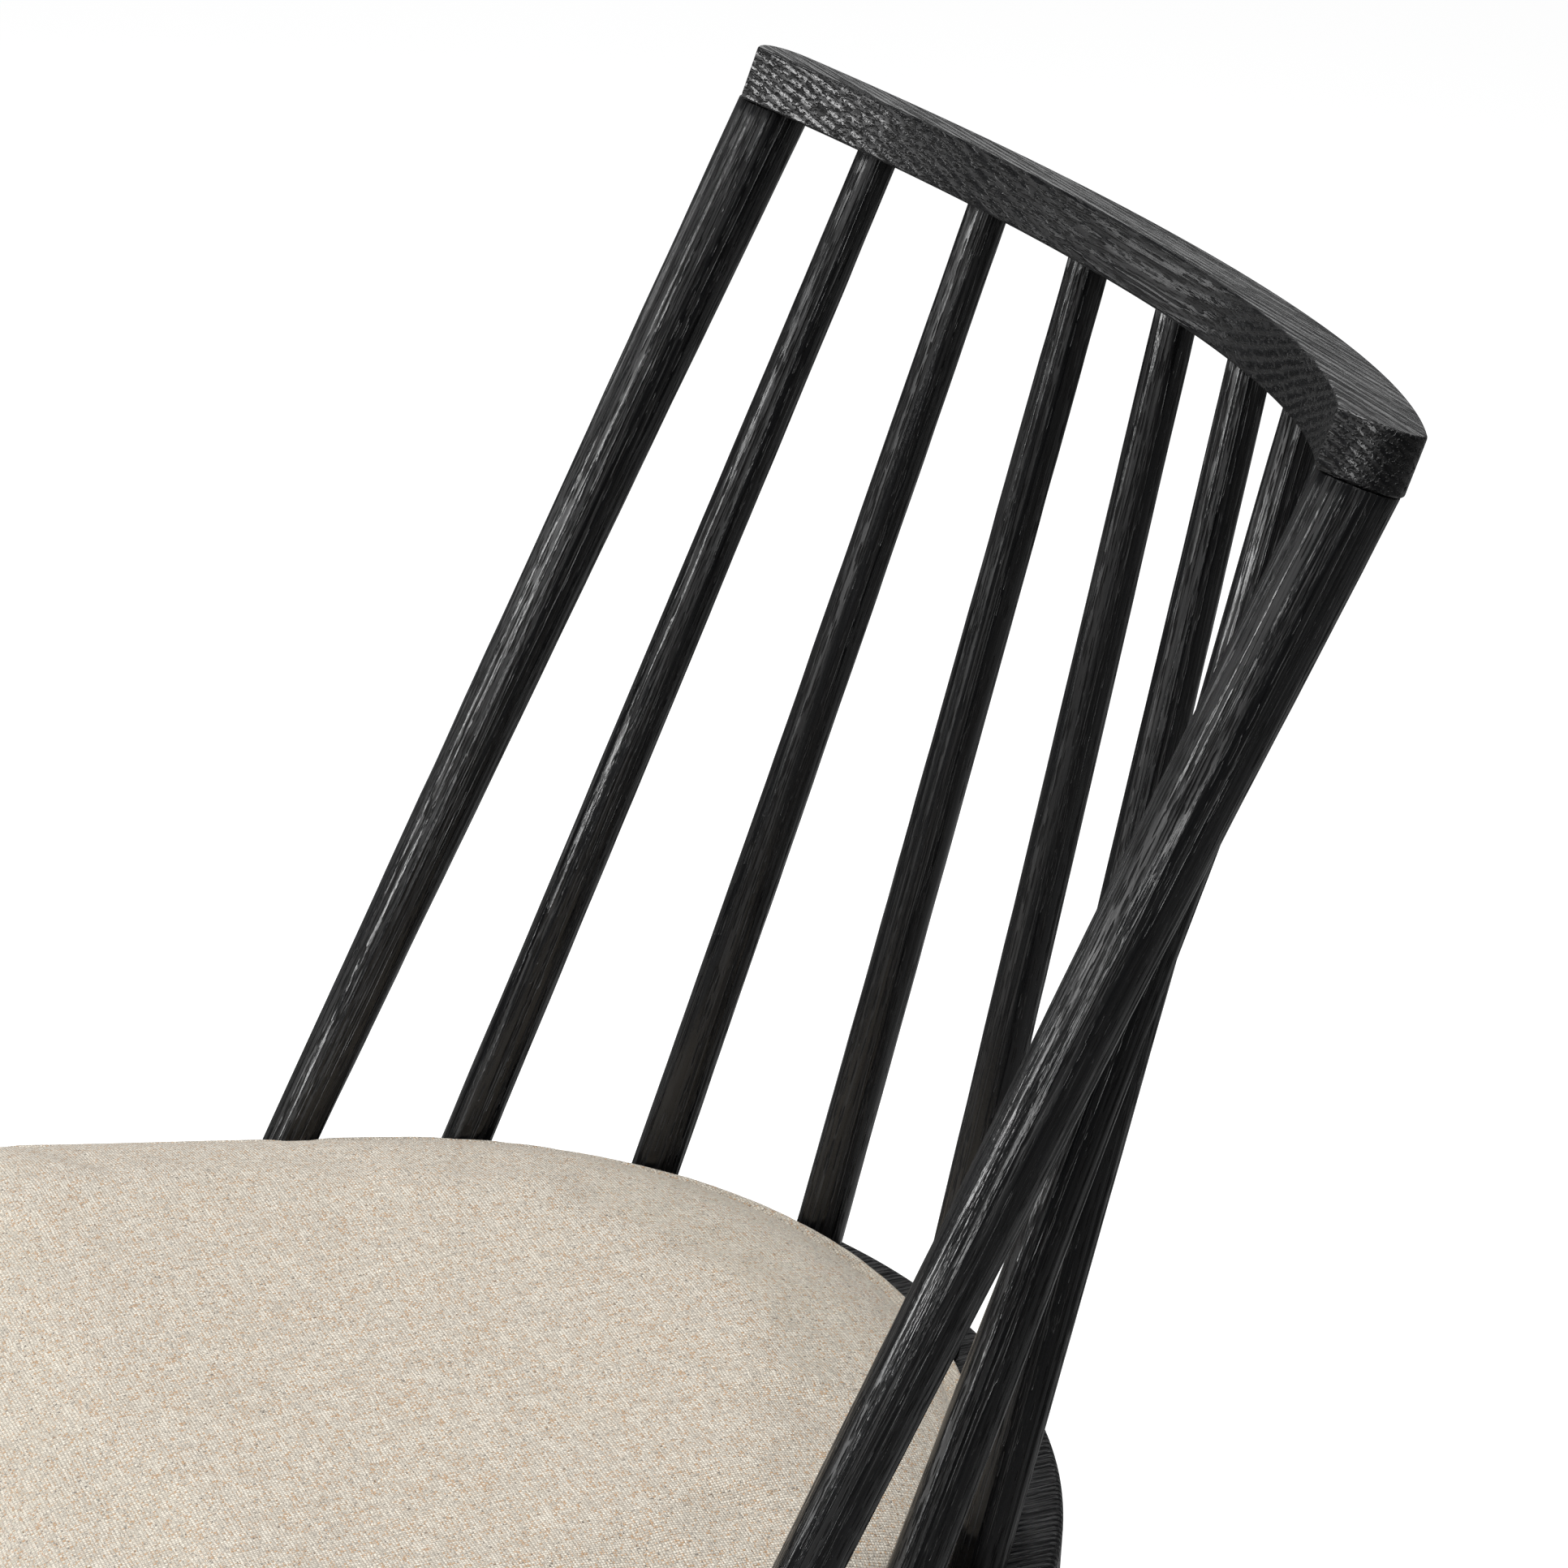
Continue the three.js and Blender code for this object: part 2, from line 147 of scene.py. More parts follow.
# The node tree of one material or of the world
class Sheet:
    def __init__(self, owner):
        self.owner = owner
        owner.use_nodes = True
        self.tree = owner.node_tree
        self.tree.nodes.clear()

    def node(self, kind, settings, inputs, output=0):
        made = self.tree.nodes.new(kind)
        for key, value in settings.items():
            setattr(made, key, value)
        pairs = inputs.items() if isinstance(inputs, dict) else enumerate(inputs)
        for key, value in pairs:
            socket = made.inputs[key]
            if isinstance(value, Wire):
                self.tree.links.new(value.socket, socket)
            else:
                socket.default_value = value
        return Wire(self, made.outputs[output]) if len(made.outputs) else None

    def place(self, attribute):
        return self.node("ShaderNodeAttribute", {"attribute_name": attribute}, {}, "Vector")

    def objectPlace(self):
        return self.node("ShaderNodeTexCoord", {}, {}, "Object")

    def split(self, vector):
        parts = self.node("ShaderNodeSeparateXYZ", {}, {"Vector": vector})
        return [parts.output(name) for name in "XYZ"]

    def stretch(self, vector, factors):
        return self.node("ShaderNodeVectorMath", {"operation": "MULTIPLY"}, (vector, factors))

    def noise(self, vector, scale=1.0, detail=2.0, roughness=0.5):
        return self.node("ShaderNodeTexNoise", {}, {
            "Vector": vector, "Scale": scale, "Detail": detail, "Roughness": roughness})

    # A Mix node's colours are its inputs 6 and 7 and its output 2
    def mix(self, factor, first, second, blend="MIX"):
        first, second = (c if isinstance(c, Wire) else (*c, 1) for c in (first, second))
        return self.node("ShaderNodeMix", {"data_type": "RGBA", "blend_type": blend},
                         {0: factor, 6: first, 7: second}, 2)

    # A Principled surface: constants go straight on its sockets, height is in metres
    def finish(self, inputs, height):
        inputs["Normal"] = self.node("ShaderNodeBump", {}, {"Height": height, "Distance": 1.0})
        surface = self.node("ShaderNodeBsdfPrincipled", {}, inputs)
        self.node("ShaderNodeOutputMaterial", {}, {"Surface": surface})
        return self.owner


# Black-stained oak, wire-brushed so that the soft early wood is worn into grooves
oak = {
    "groove": (0.0022, 0.0022, 0.0025),
    "ridge": (0.0055, 0.0057, 0.0064),
    "ringWidth": 3.0 * mm,
    "ringDepth": 0.10 * mm,
    "poreDepth": 0.52 * mm,
    "fibreDepth": 0.13 * mm,
    "speckleDepth": 0.06 * mm,
    "lineDepth": 0.42 * mm,
    "waveDepth": 0.34 * mm,
    "wander": 9 * mm,          # how far the rings stray from true circles
    # How fine each pattern is along the grain and the two ways across it, to the metre
    "wanderGrain": (3.0, 16.0, 16.0),
    "waveGrain": (7.0, 260.0, 260.0),
    "fibreGrain": (22.0, 1300.0, 1300.0),
    "poreGrain": (95.0, 1250.0, 1250.0),
    "speckleGrain": (420.0, 1500.0, 1500.0),
    "lineGrain": (9.0, 640.0, 640.0),
    "roughness": 0.20,
    "earlyRoughness": 0.24,    # what the early wood, pores, lines and fibres add
    "poreRoughness": 0.60,
    "lineRoughness": 0.34,
    "fibreRoughness": 0.12,
    "specular": 0.5,
    "ior": 1.46,
}


def blackOak(name, o):
    s = Sheet(bpy.data.materials.new(name))
    place = s.place("grain")
    _, across, deep = s.split(place)
    wander = s.noise(s.stretch(place, o["wanderGrain"]), detail=2.0) - 0.5
    heart = (across * across + deep * deep).call("SQRT")
    ring = ((heart + wander * o["wander"]) / o["ringWidth"]).call("FRACT")
    early = ((ring - 0.5).call("ABSOLUTE") * 2).step(0.25, 0.95)
    fibre = s.noise(s.stretch(place, o["fibreGrain"]), detail=2.0)
    wave = s.noise(s.stretch(place, o["waveGrain"]), detail=1.0)
    # Pores lie in clusters: each cell has its own lot, and early wood has more of them
    cell = s.node("ShaderNodeTexVoronoi", {}, {
        "Vector": s.stretch(place, o["poreGrain"]), "Scale": 1.0})
    lot = s.split(cell.output("Color"))[0]
    pore = cell.output("Distance").step(0.48, 0.30) * (lot * 0.8 + early * 0.6).step(0.58, 0.76)
    speckle = s.noise(s.stretch(place, o["speckleGrain"]), detail=1.0)
    line = s.noise(s.stretch(place, o["lineGrain"]), detail=1.0).step(0.55, 0.64)
    proud = wave * o["waveDepth"] + fibre * o["fibreDepth"] + speckle * o["speckleDepth"]
    ringGroove = early * o["ringDepth"] * (0.5 + fibre)
    height = proud - ringGroove - pore * o["poreDepth"] - line * o["lineDepth"]
    worn = (fibre.step(0.35, 0.7) * (1 - early * 0.7)) * (1 - pore) * (1 - line * 0.8)
    rough = early * o["earlyRoughness"] + pore * o["poreRoughness"] + line * o["lineRoughness"]
    return s.finish({
        "Base Color": s.mix(worn, o["groove"], o["ridge"]),
        "Roughness": o["roughness"] + rough + (fibre - 0.5) * o["fibreRoughness"],
        "Specular IOR Level": o["specular"],
        "IOR": o["ior"],
    }, height)


# Oatmeal plain weave, spun from mixed pale, tan and grey fibres, with painted shade between the
# threads
fabric = {
    "thread": 1.1 * mm,
    "drift": 1.2 * mm,         # how far the threads stray from straight
    "pale": (0.74, 0.685, 0.59),
    "shade": (0.50, 0.445, 0.37),
    "tan": (0.46, 0.27, 0.13),
    "grey": (0.22, 0.20, 0.18),
    "dark": (0.10, 0.08, 0.065),
    # The colour between the threads: painted shade in the hollows of the weave
    "gap": (0.36, 0.3204, 0.2664),
    "coolTint": (0.95, 0.96, 0.98),
    "warmTint": (1.0, 0.985, 0.95),
    "weaveDepth": 0.34 * mm,
    "threadDepth": 0.30 * mm,
    # How fine the drift, the tint and what runs across and along each thread are, to the metre
    "driftGrain": (90.0, 90.0, 90.0),
    "tintGrain": (26.0, 26.0, 26.0),
    "toneGrain": (1150.0, 140.0),
    "fleckGrain": (900.0, 260.0),
    "speckGrain": (1300.0, 330.0),
    "roughness": 0.92,
    "specular": 0.25,
    "sheen": 0.25,
    "sheenRoughness": 0.5,
}


def oatmealWeave(f):
    s = Sheet(bpy.data.materials.new("pad_fabric"))
    place = s.place("weave")
    across, along, _ = s.split(place)
    drift = s.noise(s.stretch(place, f["driftGrain"]), detail=1.0) - 0.5
    row = (along + drift * f["drift"]) / f["thread"]
    column = (across + drift * f["drift"]) / f["thread"]
    over = (row * math.pi).call("SINE") * (column * math.pi).call("SINE")
    onTop = over.step(-0.2, 0.2)
    proud = over.call("ABSOLUTE") ** 0.6

    # Each thread's own tone and flecks run along it
    def alongThreads(grain, detail):
        width, length = grain
        warp = s.noise(s.stretch(place, (width, length, width)), detail=detail)
        weft = s.noise(s.stretch(place, (length, width, width)), detail=detail)
        return warp * onTop + weft * (1 - onTop)

    tone = alongThreads(f["toneGrain"], 1.0)
    fleck = alongThreads(f["fleckGrain"], 1.0)
    speck = alongThreads(f["speckGrain"], 0.0)
    cloud = s.noise(s.stretch(place, f["tintGrain"]), detail=2.0)
    base = s.mix(tone.step(0.32, 0.66), f["pale"], f["shade"])
    warm = s.mix(fleck.step(0.56, 0.66) * 0.85, base, f["tan"])
    cool = s.mix(fleck.step(0.35, 0.28) * 0.65, warm, f["grey"])
    dotted = s.mix(speck.step(0.70, 0.78) * 0.8, cool, f["dark"])
    # Where the threads dip, the colour goes to the gap colour: painted shade in the weave's hollows
    gapShaded = s.mix(proud.step(0.05, 0.55), f["gap"], dotted)
    tint = s.mix((cloud - 0.5) * 0.5 + 0.5, f["coolTint"], f["warmTint"])
    return s.finish({
        "Base Color": s.mix(1.0, gapShaded, tint, "MULTIPLY"),
        "Roughness": f["roughness"],
        "Specular IOR Level": f["specular"],
        "Sheen Weight": f["sheen"],
        "Sheen Roughness": f["sheenRoughness"],
    }, proud * f["weaveDepth"] + (tone - 0.5) * f["threadDepth"])


zinc = {
    "dull": (0.50, 0.51, 0.52),
    "bright": (0.63, 0.64, 0.62),
    "grain": 900.0,
    "depth": 0.02 * mm,
    "roughness": 0.24,
}


def zincSteel(z):
    s = Sheet(bpy.data.materials.new("zinc_steel"))
    blotch = s.noise(s.objectPlace(), scale=z["grain"], detail=3.0)
    return s.finish({
        "Base Color": s.mix(blotch.step(0.3, 0.7), z["dull"], z["bright"]),
        "Metallic": 1.0,
        "Roughness": z["roughness"] + blotch * 0.2,
    }, blotch * z["depth"])


nylon = {
    "dark": (0.022, 0.022, 0.023),
    "pale": (0.035, 0.035, 0.036),
    "grain": 1400.0,
    "depth": 0.03 * mm,
    "roughness": 0.42,
}


def mouldedNylon(n):
    s = Sheet(bpy.data.materials.new("moulded_nylon"))
    grain = s.noise(s.objectPlace(), scale=n["grain"], detail=2.0)
    return s.finish({
        "Base Color": s.mix(grain, n["dark"], n["pale"]),
        "Roughness": n["roughness"] + grain * 0.2,
    }, grain * n["depth"])


ply = {
    "veneers": 7,
    "dark": (0.50, 0.35, 0.19),
    "pale": (0.62, 0.46, 0.27),
    "glueLine": (0.22, 0.12, 0.06),
    "grain": (12.0, 420.0, 900.0),
    "depth": 0.05 * mm,
    "roughness": 0.62,
}


def birchPly(b):
    s = Sheet(bpy.data.materials.new("birch_ply"))
    low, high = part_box("pad_board")
    place = s.objectPlace()
    upright = s.split(place)[2]
    veneer = ((upright - low.z) * (b["veneers"] / (high.z - low.z))).call("FRACT")
    grain = s.noise(s.stretch(place, b["grain"]), detail=3.0)
    wood = s.mix(grain, b["dark"], b["pale"])
    return s.finish({
        "Base Color": s.mix((veneer - 0.5).call("ABSOLUTE").step(0.40, 0.49), wood, b["glueLine"]),
        "Roughness": b["roughness"],
    }, grain * b["depth"])


materials = {
    "black_oak": blackOak("black_oak", oak),
    # The plank's wide face is brushed deepest, along its rings
    "plank_oak": blackOak("plank_oak", {**oak, "ringDepth": 0.60 * mm, "ringWidth": 2.8 * mm}),
    "pad_fabric": oatmealWeave(fabric),
    "steel": zincSteel(zinc),
    "glide_nylon": mouldedNylon(nylon),
    "plywood": birchPly(ply),
}
print("materials made")


def unit(vector):
    return vector / np.linalg.norm(vector)


def makePiece(name, points, faces, sharpAngle=40):
    mesh = bpy.data.meshes.new(name)
    mesh.from_pydata([tuple(p) for p in points], [], faces)
    shape = bmesh.new()
    shape.from_mesh(mesh)
    bmesh.ops.recalc_face_normals(shape, faces=shape.faces)
    shape.to_mesh(mesh)
    shape.free()
    for polygon in mesh.polygons:
        polygon.use_smooth = True
    mesh.set_sharp_from_angle(angle=math.radians(sharpAngle))
    piece = bpy.data.objects.new(name, mesh)
    scene.collection.objects.link(piece)
    return piece


# Dresses a finished mesh, lets it ride on the chair and hides the node that it stands for
def dress(piece, slot, *nodes, finish=None):
    piece.data.materials.clear()
    piece.data.materials.append(materials[finish or slot])
    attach(piece, "root")
    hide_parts(*nodes)


# Keeps each point's place along and across the fibres, with the tree's heart at a distance
def layGrain(piece, origin, alongAxis, acrossAxis, heart):
    alongAxis = unit(alongAxis)
    acrossAxis = unit(acrossAxis - np.dot(acrossAxis, alongAxis) * alongAxis)
    axes = np.array([alongAxis, acrossAxis, np.cross(alongAxis, acrossAxis)])
    shift = np.array([rng.uniform(0, 2), *heart])
    keepField(piece, "grain", (meshPoints(piece) - origin) @ axes.T + shift)


# Faces between rings of equal length that close on themselves
def wallFaces(ringCount, sides):
    faces = []
    for k in range(ringCount - 1):
        for i in range(sides):
            j = (i + 1) % sides
            faces.append((k * sides + i, k * sides + j, (k + 1) * sides + j, (k + 1) * sides + i))
    return faces


# The same with a fan over each end
def ringFaces(ringCount, sides):
    faces = wallFaces(ringCount, sides)
    first, last = ringCount * sides, ringCount * sides + 1
    for i in range(sides):
        j = (i + 1) % sides
        faces.append((first, j, i))
        faces.append((last, (ringCount - 1) * sides + i, (ringCount - 1) * sides + j))
    return faces


# Two axes across a third
def crossAxes(axis):
    side = np.array([1.0, 0, 0]) if abs(axis[0]) < 0.8 else np.array([0, 1.0, 0])
    first = unit(np.cross(axis, side))
    return first, np.cross(axis, first)


# A ring of unit arms about an axis, with the turn that each stands at
def roundRim(axis, sides):
    first, second = crossAxes(axis)
    turn = np.arange(sides) * 2 * math.pi / sides
    return turn, np.cos(turn)[:, None] * first + np.sin(turn)[:, None] * second


def meshPoints(piece):
    return np.array([v.co for v in piece.data.vertices])


def movePoints(piece, points):
    piece.data.vertices.foreach_set("co", points.astype(np.float32).ravel())
    piece.data.update()


def keepField(piece, name, vectors):
    field = piece.data.attributes.new(name, "FLOAT_VECTOR", "POINT")
    field.data.foreach_set("vector", vectors.astype(np.float32).ravel())


# A piece's mesh with its modifiers worked out
def solvedMesh(piece):
    return bpy.data.meshes.new_from_object(
        piece.evaluated_get(bpy.context.evaluated_depsgraph_get()))


# The middle of the bottom of a node's box
def boxFoot(node):
    low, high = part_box(node)
    return np.array([(low.x + high.x) / 2, (low.y + high.y) / 2, low.z])


def cadPoints(node):
    return np.array([v.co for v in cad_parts[node].data.vertices], float)


# Cuts the joined closed shapes out of a piece
def carve(piece, cutters):
    points, faces = [], []
    for cutterPoints, cutterFaces in cutters:
        base = len(points)
        points.extend(cutterPoints)
        faces.extend(tuple(base + i for i in face) for face in cutterFaces)
    tool = makePiece("cutter", points, faces)
    modifier = piece.modifiers.new("carve", "BOOLEAN")
    modifier.operation = "DIFFERENCE"
    modifier.solver = "EXACT"
    modifier.object = tool
    carved = solvedMesh(piece)
    piece.modifiers.clear()
    piece.data = carved
    bpy.data.objects.remove(tool)


# A plain round cutter through a list of (distance along, radius)
def roundCutter(start, axis, profile, sides=32):
    rim = roundRim(axis, sides)[1]
    rings = [start + reach * axis + radius * rim for reach, radius in profile]
    ends = [start + profile[0][0] * axis, start + profile[-1][0] * axis]
    return np.concatenate(rings + [np.array(ends)]), ringFaces(len(profile), sides)


# The line down the middle of a bar that has a flat round end on each of its tenons
def tenonLine(node):
    points = cadPoints(node)
    middle = points.mean(0)
    axis = np.linalg.svd(points - middle, full_matrices=False)[2][0]
    axis = axis if axis[np.argmax(np.abs(axis))] > 0 else -axis
    reach = (points - middle) @ axis
    low = points[reach < reach.min() + fits["nearEnd"]].mean(0)
    high = points[reach > reach.max() - fits["nearEnd"]].mean(0)
    return low, high


# Finds where each line along a turned surface crosses a face: inside is positive there
def crossing(face, pointAt, inner, outer, sides):
    inner = np.full(sides, inner)
    outer = np.full(sides, outer)
    halvings = 44
    for _ in range(halvings):
        middle = (inner + outer) / 2
        inside = face(pointAt(middle)) > 0
        inner = np.where(inside, middle, inner)
        outer = np.where(inside, outer, middle)
    return (inner + outer) / 2


def planeFace(point, normal):
    return lambda points: (points - point) @ normal


# How far points are along a line and away from it
def aboutLine(points, start, axis):
    offset = points - start
    reach = offset @ axis
    return reach, np.linalg.norm(offset - reach[:, None] * axis, axis=1)


# The face that a bar's end is scribed to: the outside of another bar
def barFace(bar):
    def face(points):
        reach, distance = aboutLine(points, bar["low"], bar["axis"])
        return distance - bar["radiusAt"](reach) - fits["gap"]
    return face


brush = {
    "hollows": (3, 5, 7, 9, 12, 15),       # how many go round, for each set of hollows
    "hollowRun": 200 * mm,
    # Each set of grooves: how many go round, how long they run and how deep they are
    "grooves": ((26, 34 * mm, 0.16 * mm), (48, 20 * mm, 0.10 * mm)),
    "bare": 0.45,              # the share of a stick that no groove cuts
    "wall": 0.4,               # how wide a groove's slope is, as a share of its pattern
}


# What the brush does along a stick: how far the surface stands in or out
def brushed(amount, length):
    waves = []
    for count in brush["hollows"]:
        waves.append((count, rng.uniform(-2, 2) * 2 * math.pi / max(length, brush["hollowRun"]),
                      rng.uniform(0, 2 * math.pi), rng.uniform(0.5, 1.0) / math.sqrt(count)))
    total = sum(w[3] for w in waves)
    grooves = [(scratch(cells, run, length), depth) for cells, run, depth in brush["grooves"]]

    def offset(turn, reach):
        hollows = amount * sum(size * np.cos(count * turn + rate * reach + start)
                               for count, rate, start, size in waves) / total
        return hollows - sum(depth * lattice(turn, reach) for lattice, depth in grooves)
    return offset


# Long grooves that wrap round a stick: 0 on the flat and up to 1 in a groove
def scratch(cells, run, length):
    margin = 4
    rows = int(length / run) + 2 * margin
    table = rng.uniform(0, 1, (rows, cells))

    def lattice(turn, reach):
        column = np.mod(turn / (2 * math.pi), 1) * cells
        row = np.clip(reach / run + margin, 0, rows - 1.001)
        i, j = np.floor(column).astype(int) % cells, np.floor(row).astype(int)
        u, v = column - np.floor(column), row - j
        u, v = u * u * (3 - 2 * u), v * v * (3 - 2 * v)
        k = (i + 1) % cells
        low = table[j, i] * (1 - u) + table[j, k] * u
        high = table[j + 1, i] * (1 - u) + table[j + 1, k] * u
        return np.clip((low * (1 - v) + high * v - brush["bare"]) / brush["wall"], 0, 1)
    return lattice


# A turned bar between two faces, with a round tenon past either one. Its limits are the places
# along it that are sure to be past the faces.
def turnBar(name, bar, lowFace, highFace, sides=112, step=5 * mm, hollow=0.1 * mm):
    axis, start, length = bar["axis"], bar["low"], bar["length"]
    turn, rim = roundRim(axis, sides)
    offset = brushed(hollow, length)
    radiusAt = bar["radiusAt"]

    def surface(reach, inset=0.0, fixed=None):
        radius = radiusAt(reach) - inset + offset(turn, reach) if fixed is None else fixed
        return start + reach[:, None] * axis + np.reshape(radius, (-1, 1)) * rim

    def ends(inset=0.0, fixed=None):
        def pointAt(reach):
            return surface(reach, inset, fixed)

        middle = length / 2
        farLow, farHigh = bar.get("limits", (-fits["past"], length + fits["past"]))
        return (crossing(lowFace, pointAt, middle, farLow, sides),
                crossing(highFace, pointAt, middle, farHigh, sides))

    ease = fits["ease"]
    rings = []
    tenon = bar["tenonRadius"]
    full = np.ones(sides)
    lowRoot, highRoot = ends(fixed=tenon)
    lowEnd, highEnd = ends(inset=ease)
    chamfer = fits["chamfer"]
    if bar["tenonLow"]:
        rings.append(surface(full * 0, fixed=tenon - chamfer))
        rings.append(surface(full * chamfer, fixed=tenon))
        rings.append(surface(lowRoot, fixed=tenon))
    rings.append(surface(lowEnd, inset=ease))
    rings.append(surface(lowEnd + 0.3 * ease, inset=0.3 * ease))
    count = max(8, int(length / step))
    for share in np.linspace(0, 1, count):
        rings.append(surface((lowEnd + ease) * (1 - share) + (highEnd - ease) * share))
    rings.append(surface(highEnd - 0.3 * ease, inset=0.3 * ease))
    rings.append(surface(highEnd, inset=ease))
    rings.append(surface(highRoot, fixed=tenon))
    rings.append(surface(full * (length - chamfer), fixed=tenon))
    rings.append(surface(full * length, fixed=tenon - chamfer))
    points = np.concatenate(rings + [np.array([rings[0].mean(0), rings[-1].mean(0)])])
    return makePiece(name, points, ringFaces(len(rings), sides))


# A straight taper through the corners that are on a bar's body, as its radius along it
def readTaper(reach, radius, body):
    slope, base = np.polyfit(reach[body], radius[body], 1)
    return lambda s: base + slope * s


def readBar(node, tenonRadius):
    low, high = tenonLine(node)
    axis = unit(high - low)
    length = float(np.linalg.norm(high - low))
    points = cadPoints(node)
    reach, radius = aboutLine(points, low, axis)
    body = radius > tenonRadius + sticks["shoulder"]
    return {"low": low, "axis": axis, "length": length, "radiusAt": readTaper(reach, radius, body),
            "tenonRadius": tenonRadius, "tenonLow": True,
            "head": points[body & (reach > length / 2)]}


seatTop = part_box("seat_plank")[1].z
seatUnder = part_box("seat_plank")[0].z
upward = np.array([0, 0, 1.0])
aboveSeat = planeFace(np.array([0, 0, seatTop + fits["gap"]]), upward)

sticks = {
    "spindleCount": 7,
    "spindleTenon": 5.5 * mm,
    "postTenon": 6.5 * mm,
    "shoulder": 0.4 * mm,      # how far past a tenon's radius a corner is on the body
    "spindleHollow": 0.12 * mm,
    "postHollow": 0.28 * mm,
}


# The crest's underside, from the slanted heads of the sticks
def crestFace(bars):
    heads = np.concatenate([bar["head"] for bar in bars.values()])
    centre = heads.mean(0)
    normal = np.linalg.svd(heads - centre, full_matrices=False)[2][2]
    normal = normal if normal[2] > 0 else -normal
    return centre, normal


stickTenons = {}
for number in range(1, sticks["spindleCount"] + 1):
    stickTenons[f"back_spindle_{number}"] = sticks["spindleTenon"]
stickTenons["end_post_left"] = stickTenons["end_post_right"] = sticks["postTenon"]
stickBars = {node: readBar(node, tenon) for node, tenon in stickTenons.items()}
headCentre, crestNormal = crestFace(stickBars)
belowCrest = planeFace(headCentre, -crestNormal)


# Each turned piece has a place of its own beside the heart of its tree
def treeHeart():
    return rng.uniform(0.02, 0.06), rng.uniform(-0.05, 0.05)


for node, bar in stickBars.items():
    isPost = node.startswith("end_post")
    piece = turnBar(f"{node}_turned", bar, aboveSeat, belowCrest,
                    hollow=sticks["postHollow" if isPost else "spindleHollow"])
    layGrain(piece, bar["low"], bar["axis"], upward, treeHeart())
    dress(piece, "black_oak", node)
print("back sticks turned")


crest = {
    "thickness": 20 * mm,
    "frontRadius": 388.6 * mm,
    "backRadius": 416.9 * mm,
    "width": 28.9 * mm,
    "frontEndX": 209.3 * mm,
    "backEndX": 218.5 * mm,
    "noseFront": (16 * mm, 7.5 * mm),
    "noseBack": (12 * mm, -7 * mm),
    "ease": 1.0 * mm,
    "socket": 30 * mm,         # how far below a tenon's end its cutter starts
    "heart": (0.10, 0.05),
}


def arcPoints(radius, apex, endX, count):
    half = math.asin(endX / radius)
    turn = np.linspace(-half, half, count)
    return np.stack([radius * np.sin(turn), apex - radius * (1 - np.cos(turn))], 1)


def bezierPoints(a, b, c, d, count):
    t = np.linspace(0, 1, count)[:, None]
    return (1 - t) ** 3 * a + 3 * (1 - t) ** 2 * t * b + 3 * (1 - t) * t ** 2 * c + t ** 3 * d


# The crest's outline seen square to its top, as a front and a back curve from end to end
def crestCurves(c, arcCount=120, noseCount=13):
    front = arcPoints(c["frontRadius"], -c["width"] / 2, c["frontEndX"], arcCount)
    back = arcPoints(c["backRadius"], c["width"] / 2, c["backEndX"], arcCount)
    nose = bezierPoints(back[-1], back[-1] + np.array(c["noseBack"]),
                        front[-1] + np.array(c["noseFront"]), front[-1], noseCount)
    half = noseCount // 2
    mirror = np.array([-1, 1])
    front = np.concatenate([(nose[half:-1] * mirror), front, nose[half:-1][::-1]])
    back = np.concatenate([(nose[1:half + 1] * mirror)[::-1], back, nose[1:half + 1]])
    return front, back


# Moves a closed outline inwards by a distance
def insetLoop(loop, distance):
    ahead = np.roll(loop, -1, axis=0) - np.roll(loop, 1, axis=0)
    normal = np.stack([ahead[:, 1], -ahead[:, 0]], 1)
    normal /= np.linalg.norm(normal, axis=1)[:, None]
    x, y = loop[:, 0], loop[:, 1]
    area = np.sum(x * np.roll(y, -1) - np.roll(x, -1) * y) / 2
    return loop - normal * distance * (1 if area > 0 else -1)


# Levels of a slab with rounded edges, as (inset, height) from the bottom to the top
def easedLevels(thickness, ease, steps, wallSteps):
    turn = np.linspace(0, math.pi / 2, steps + 1)
    curve = [(ease * (1 - math.sin(t)), ease * (1 - math.cos(t))) for t in turn]
    wall = [(0, h) for h in np.linspace(ease, thickness - ease, wallSteps + 1)[1:-1]]
    return curve + wall + [(inset, thickness - height) for inset, height in curve[::-1]]


# The point on the underside that is halfway along and halfway between the two arcs
def crestMiddle(c, backward):
    # The back arc's top edge at the middle is the crest's furthest point in Y
    reach = c["width"] / 2 * backward + (c["thickness"] - c["ease"]) * crestNormal
    under = headCentre + fits["gap"] * crestNormal
    under[0] = 0
    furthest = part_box("crest_rail")[1].y
    return under + (furthest - reach[1] - under[1]) / backward[1] * backward


# Fills one level of the crest with rows of faces from its front curve to its back curve
def crestCap(points, base, size, count, across):
    grid = np.zeros((count, across + 1), int)
    for i in range(count):
        inside = 0 < i < count - 1
        frontIndex = base + i
        backIndex = base + size - i if inside else frontIndex
        grid[i] = frontIndex
        grid[i, across] = backIndex
        for j in range(1, across if inside else 1):
            share = j / across
            points.append(points[frontIndex] * (1 - share) + points[backIndex] * share)
            grid[i, j] = len(points) - 1
    faces = []
    for i in range(count - 1):
        for j in range(across):
            corners = [grid[i, j], grid[i + 1, j], grid[i + 1, j + 1], grid[i, j + 1]]
            face = [int(v) for n, v in enumerate(corners) if v not in corners[:n]]
            if len(face) > 2:
                faces.append(tuple(face))
    return faces


def makeCrest(c):
    front, back = crestCurves(c)
    loop = np.concatenate([front, back[1:-1][::-1]])
    levels = easedLevels(c["thickness"], c["ease"], steps=4, wallSteps=8)
    sideways = np.array([1.0, 0, 0])
    backward = np.cross(crestNormal, sideways)
    middle = crestMiddle(c, backward)
    points = []
    for inset, height in levels:
        ring = insetLoop(loop, inset)
        points.extend(middle + ring[:, :1] * sideways + ring[:, 1:] * backward + height * crestNormal)
    faces = wallFaces(len(levels), len(loop))
    for level in (0, len(levels) - 1):
        faces += crestCap(points, level * len(loop), len(loop), len(front), across=8)
    return makePiece("crest_rail_sawn", np.array(points), faces), middle, backward


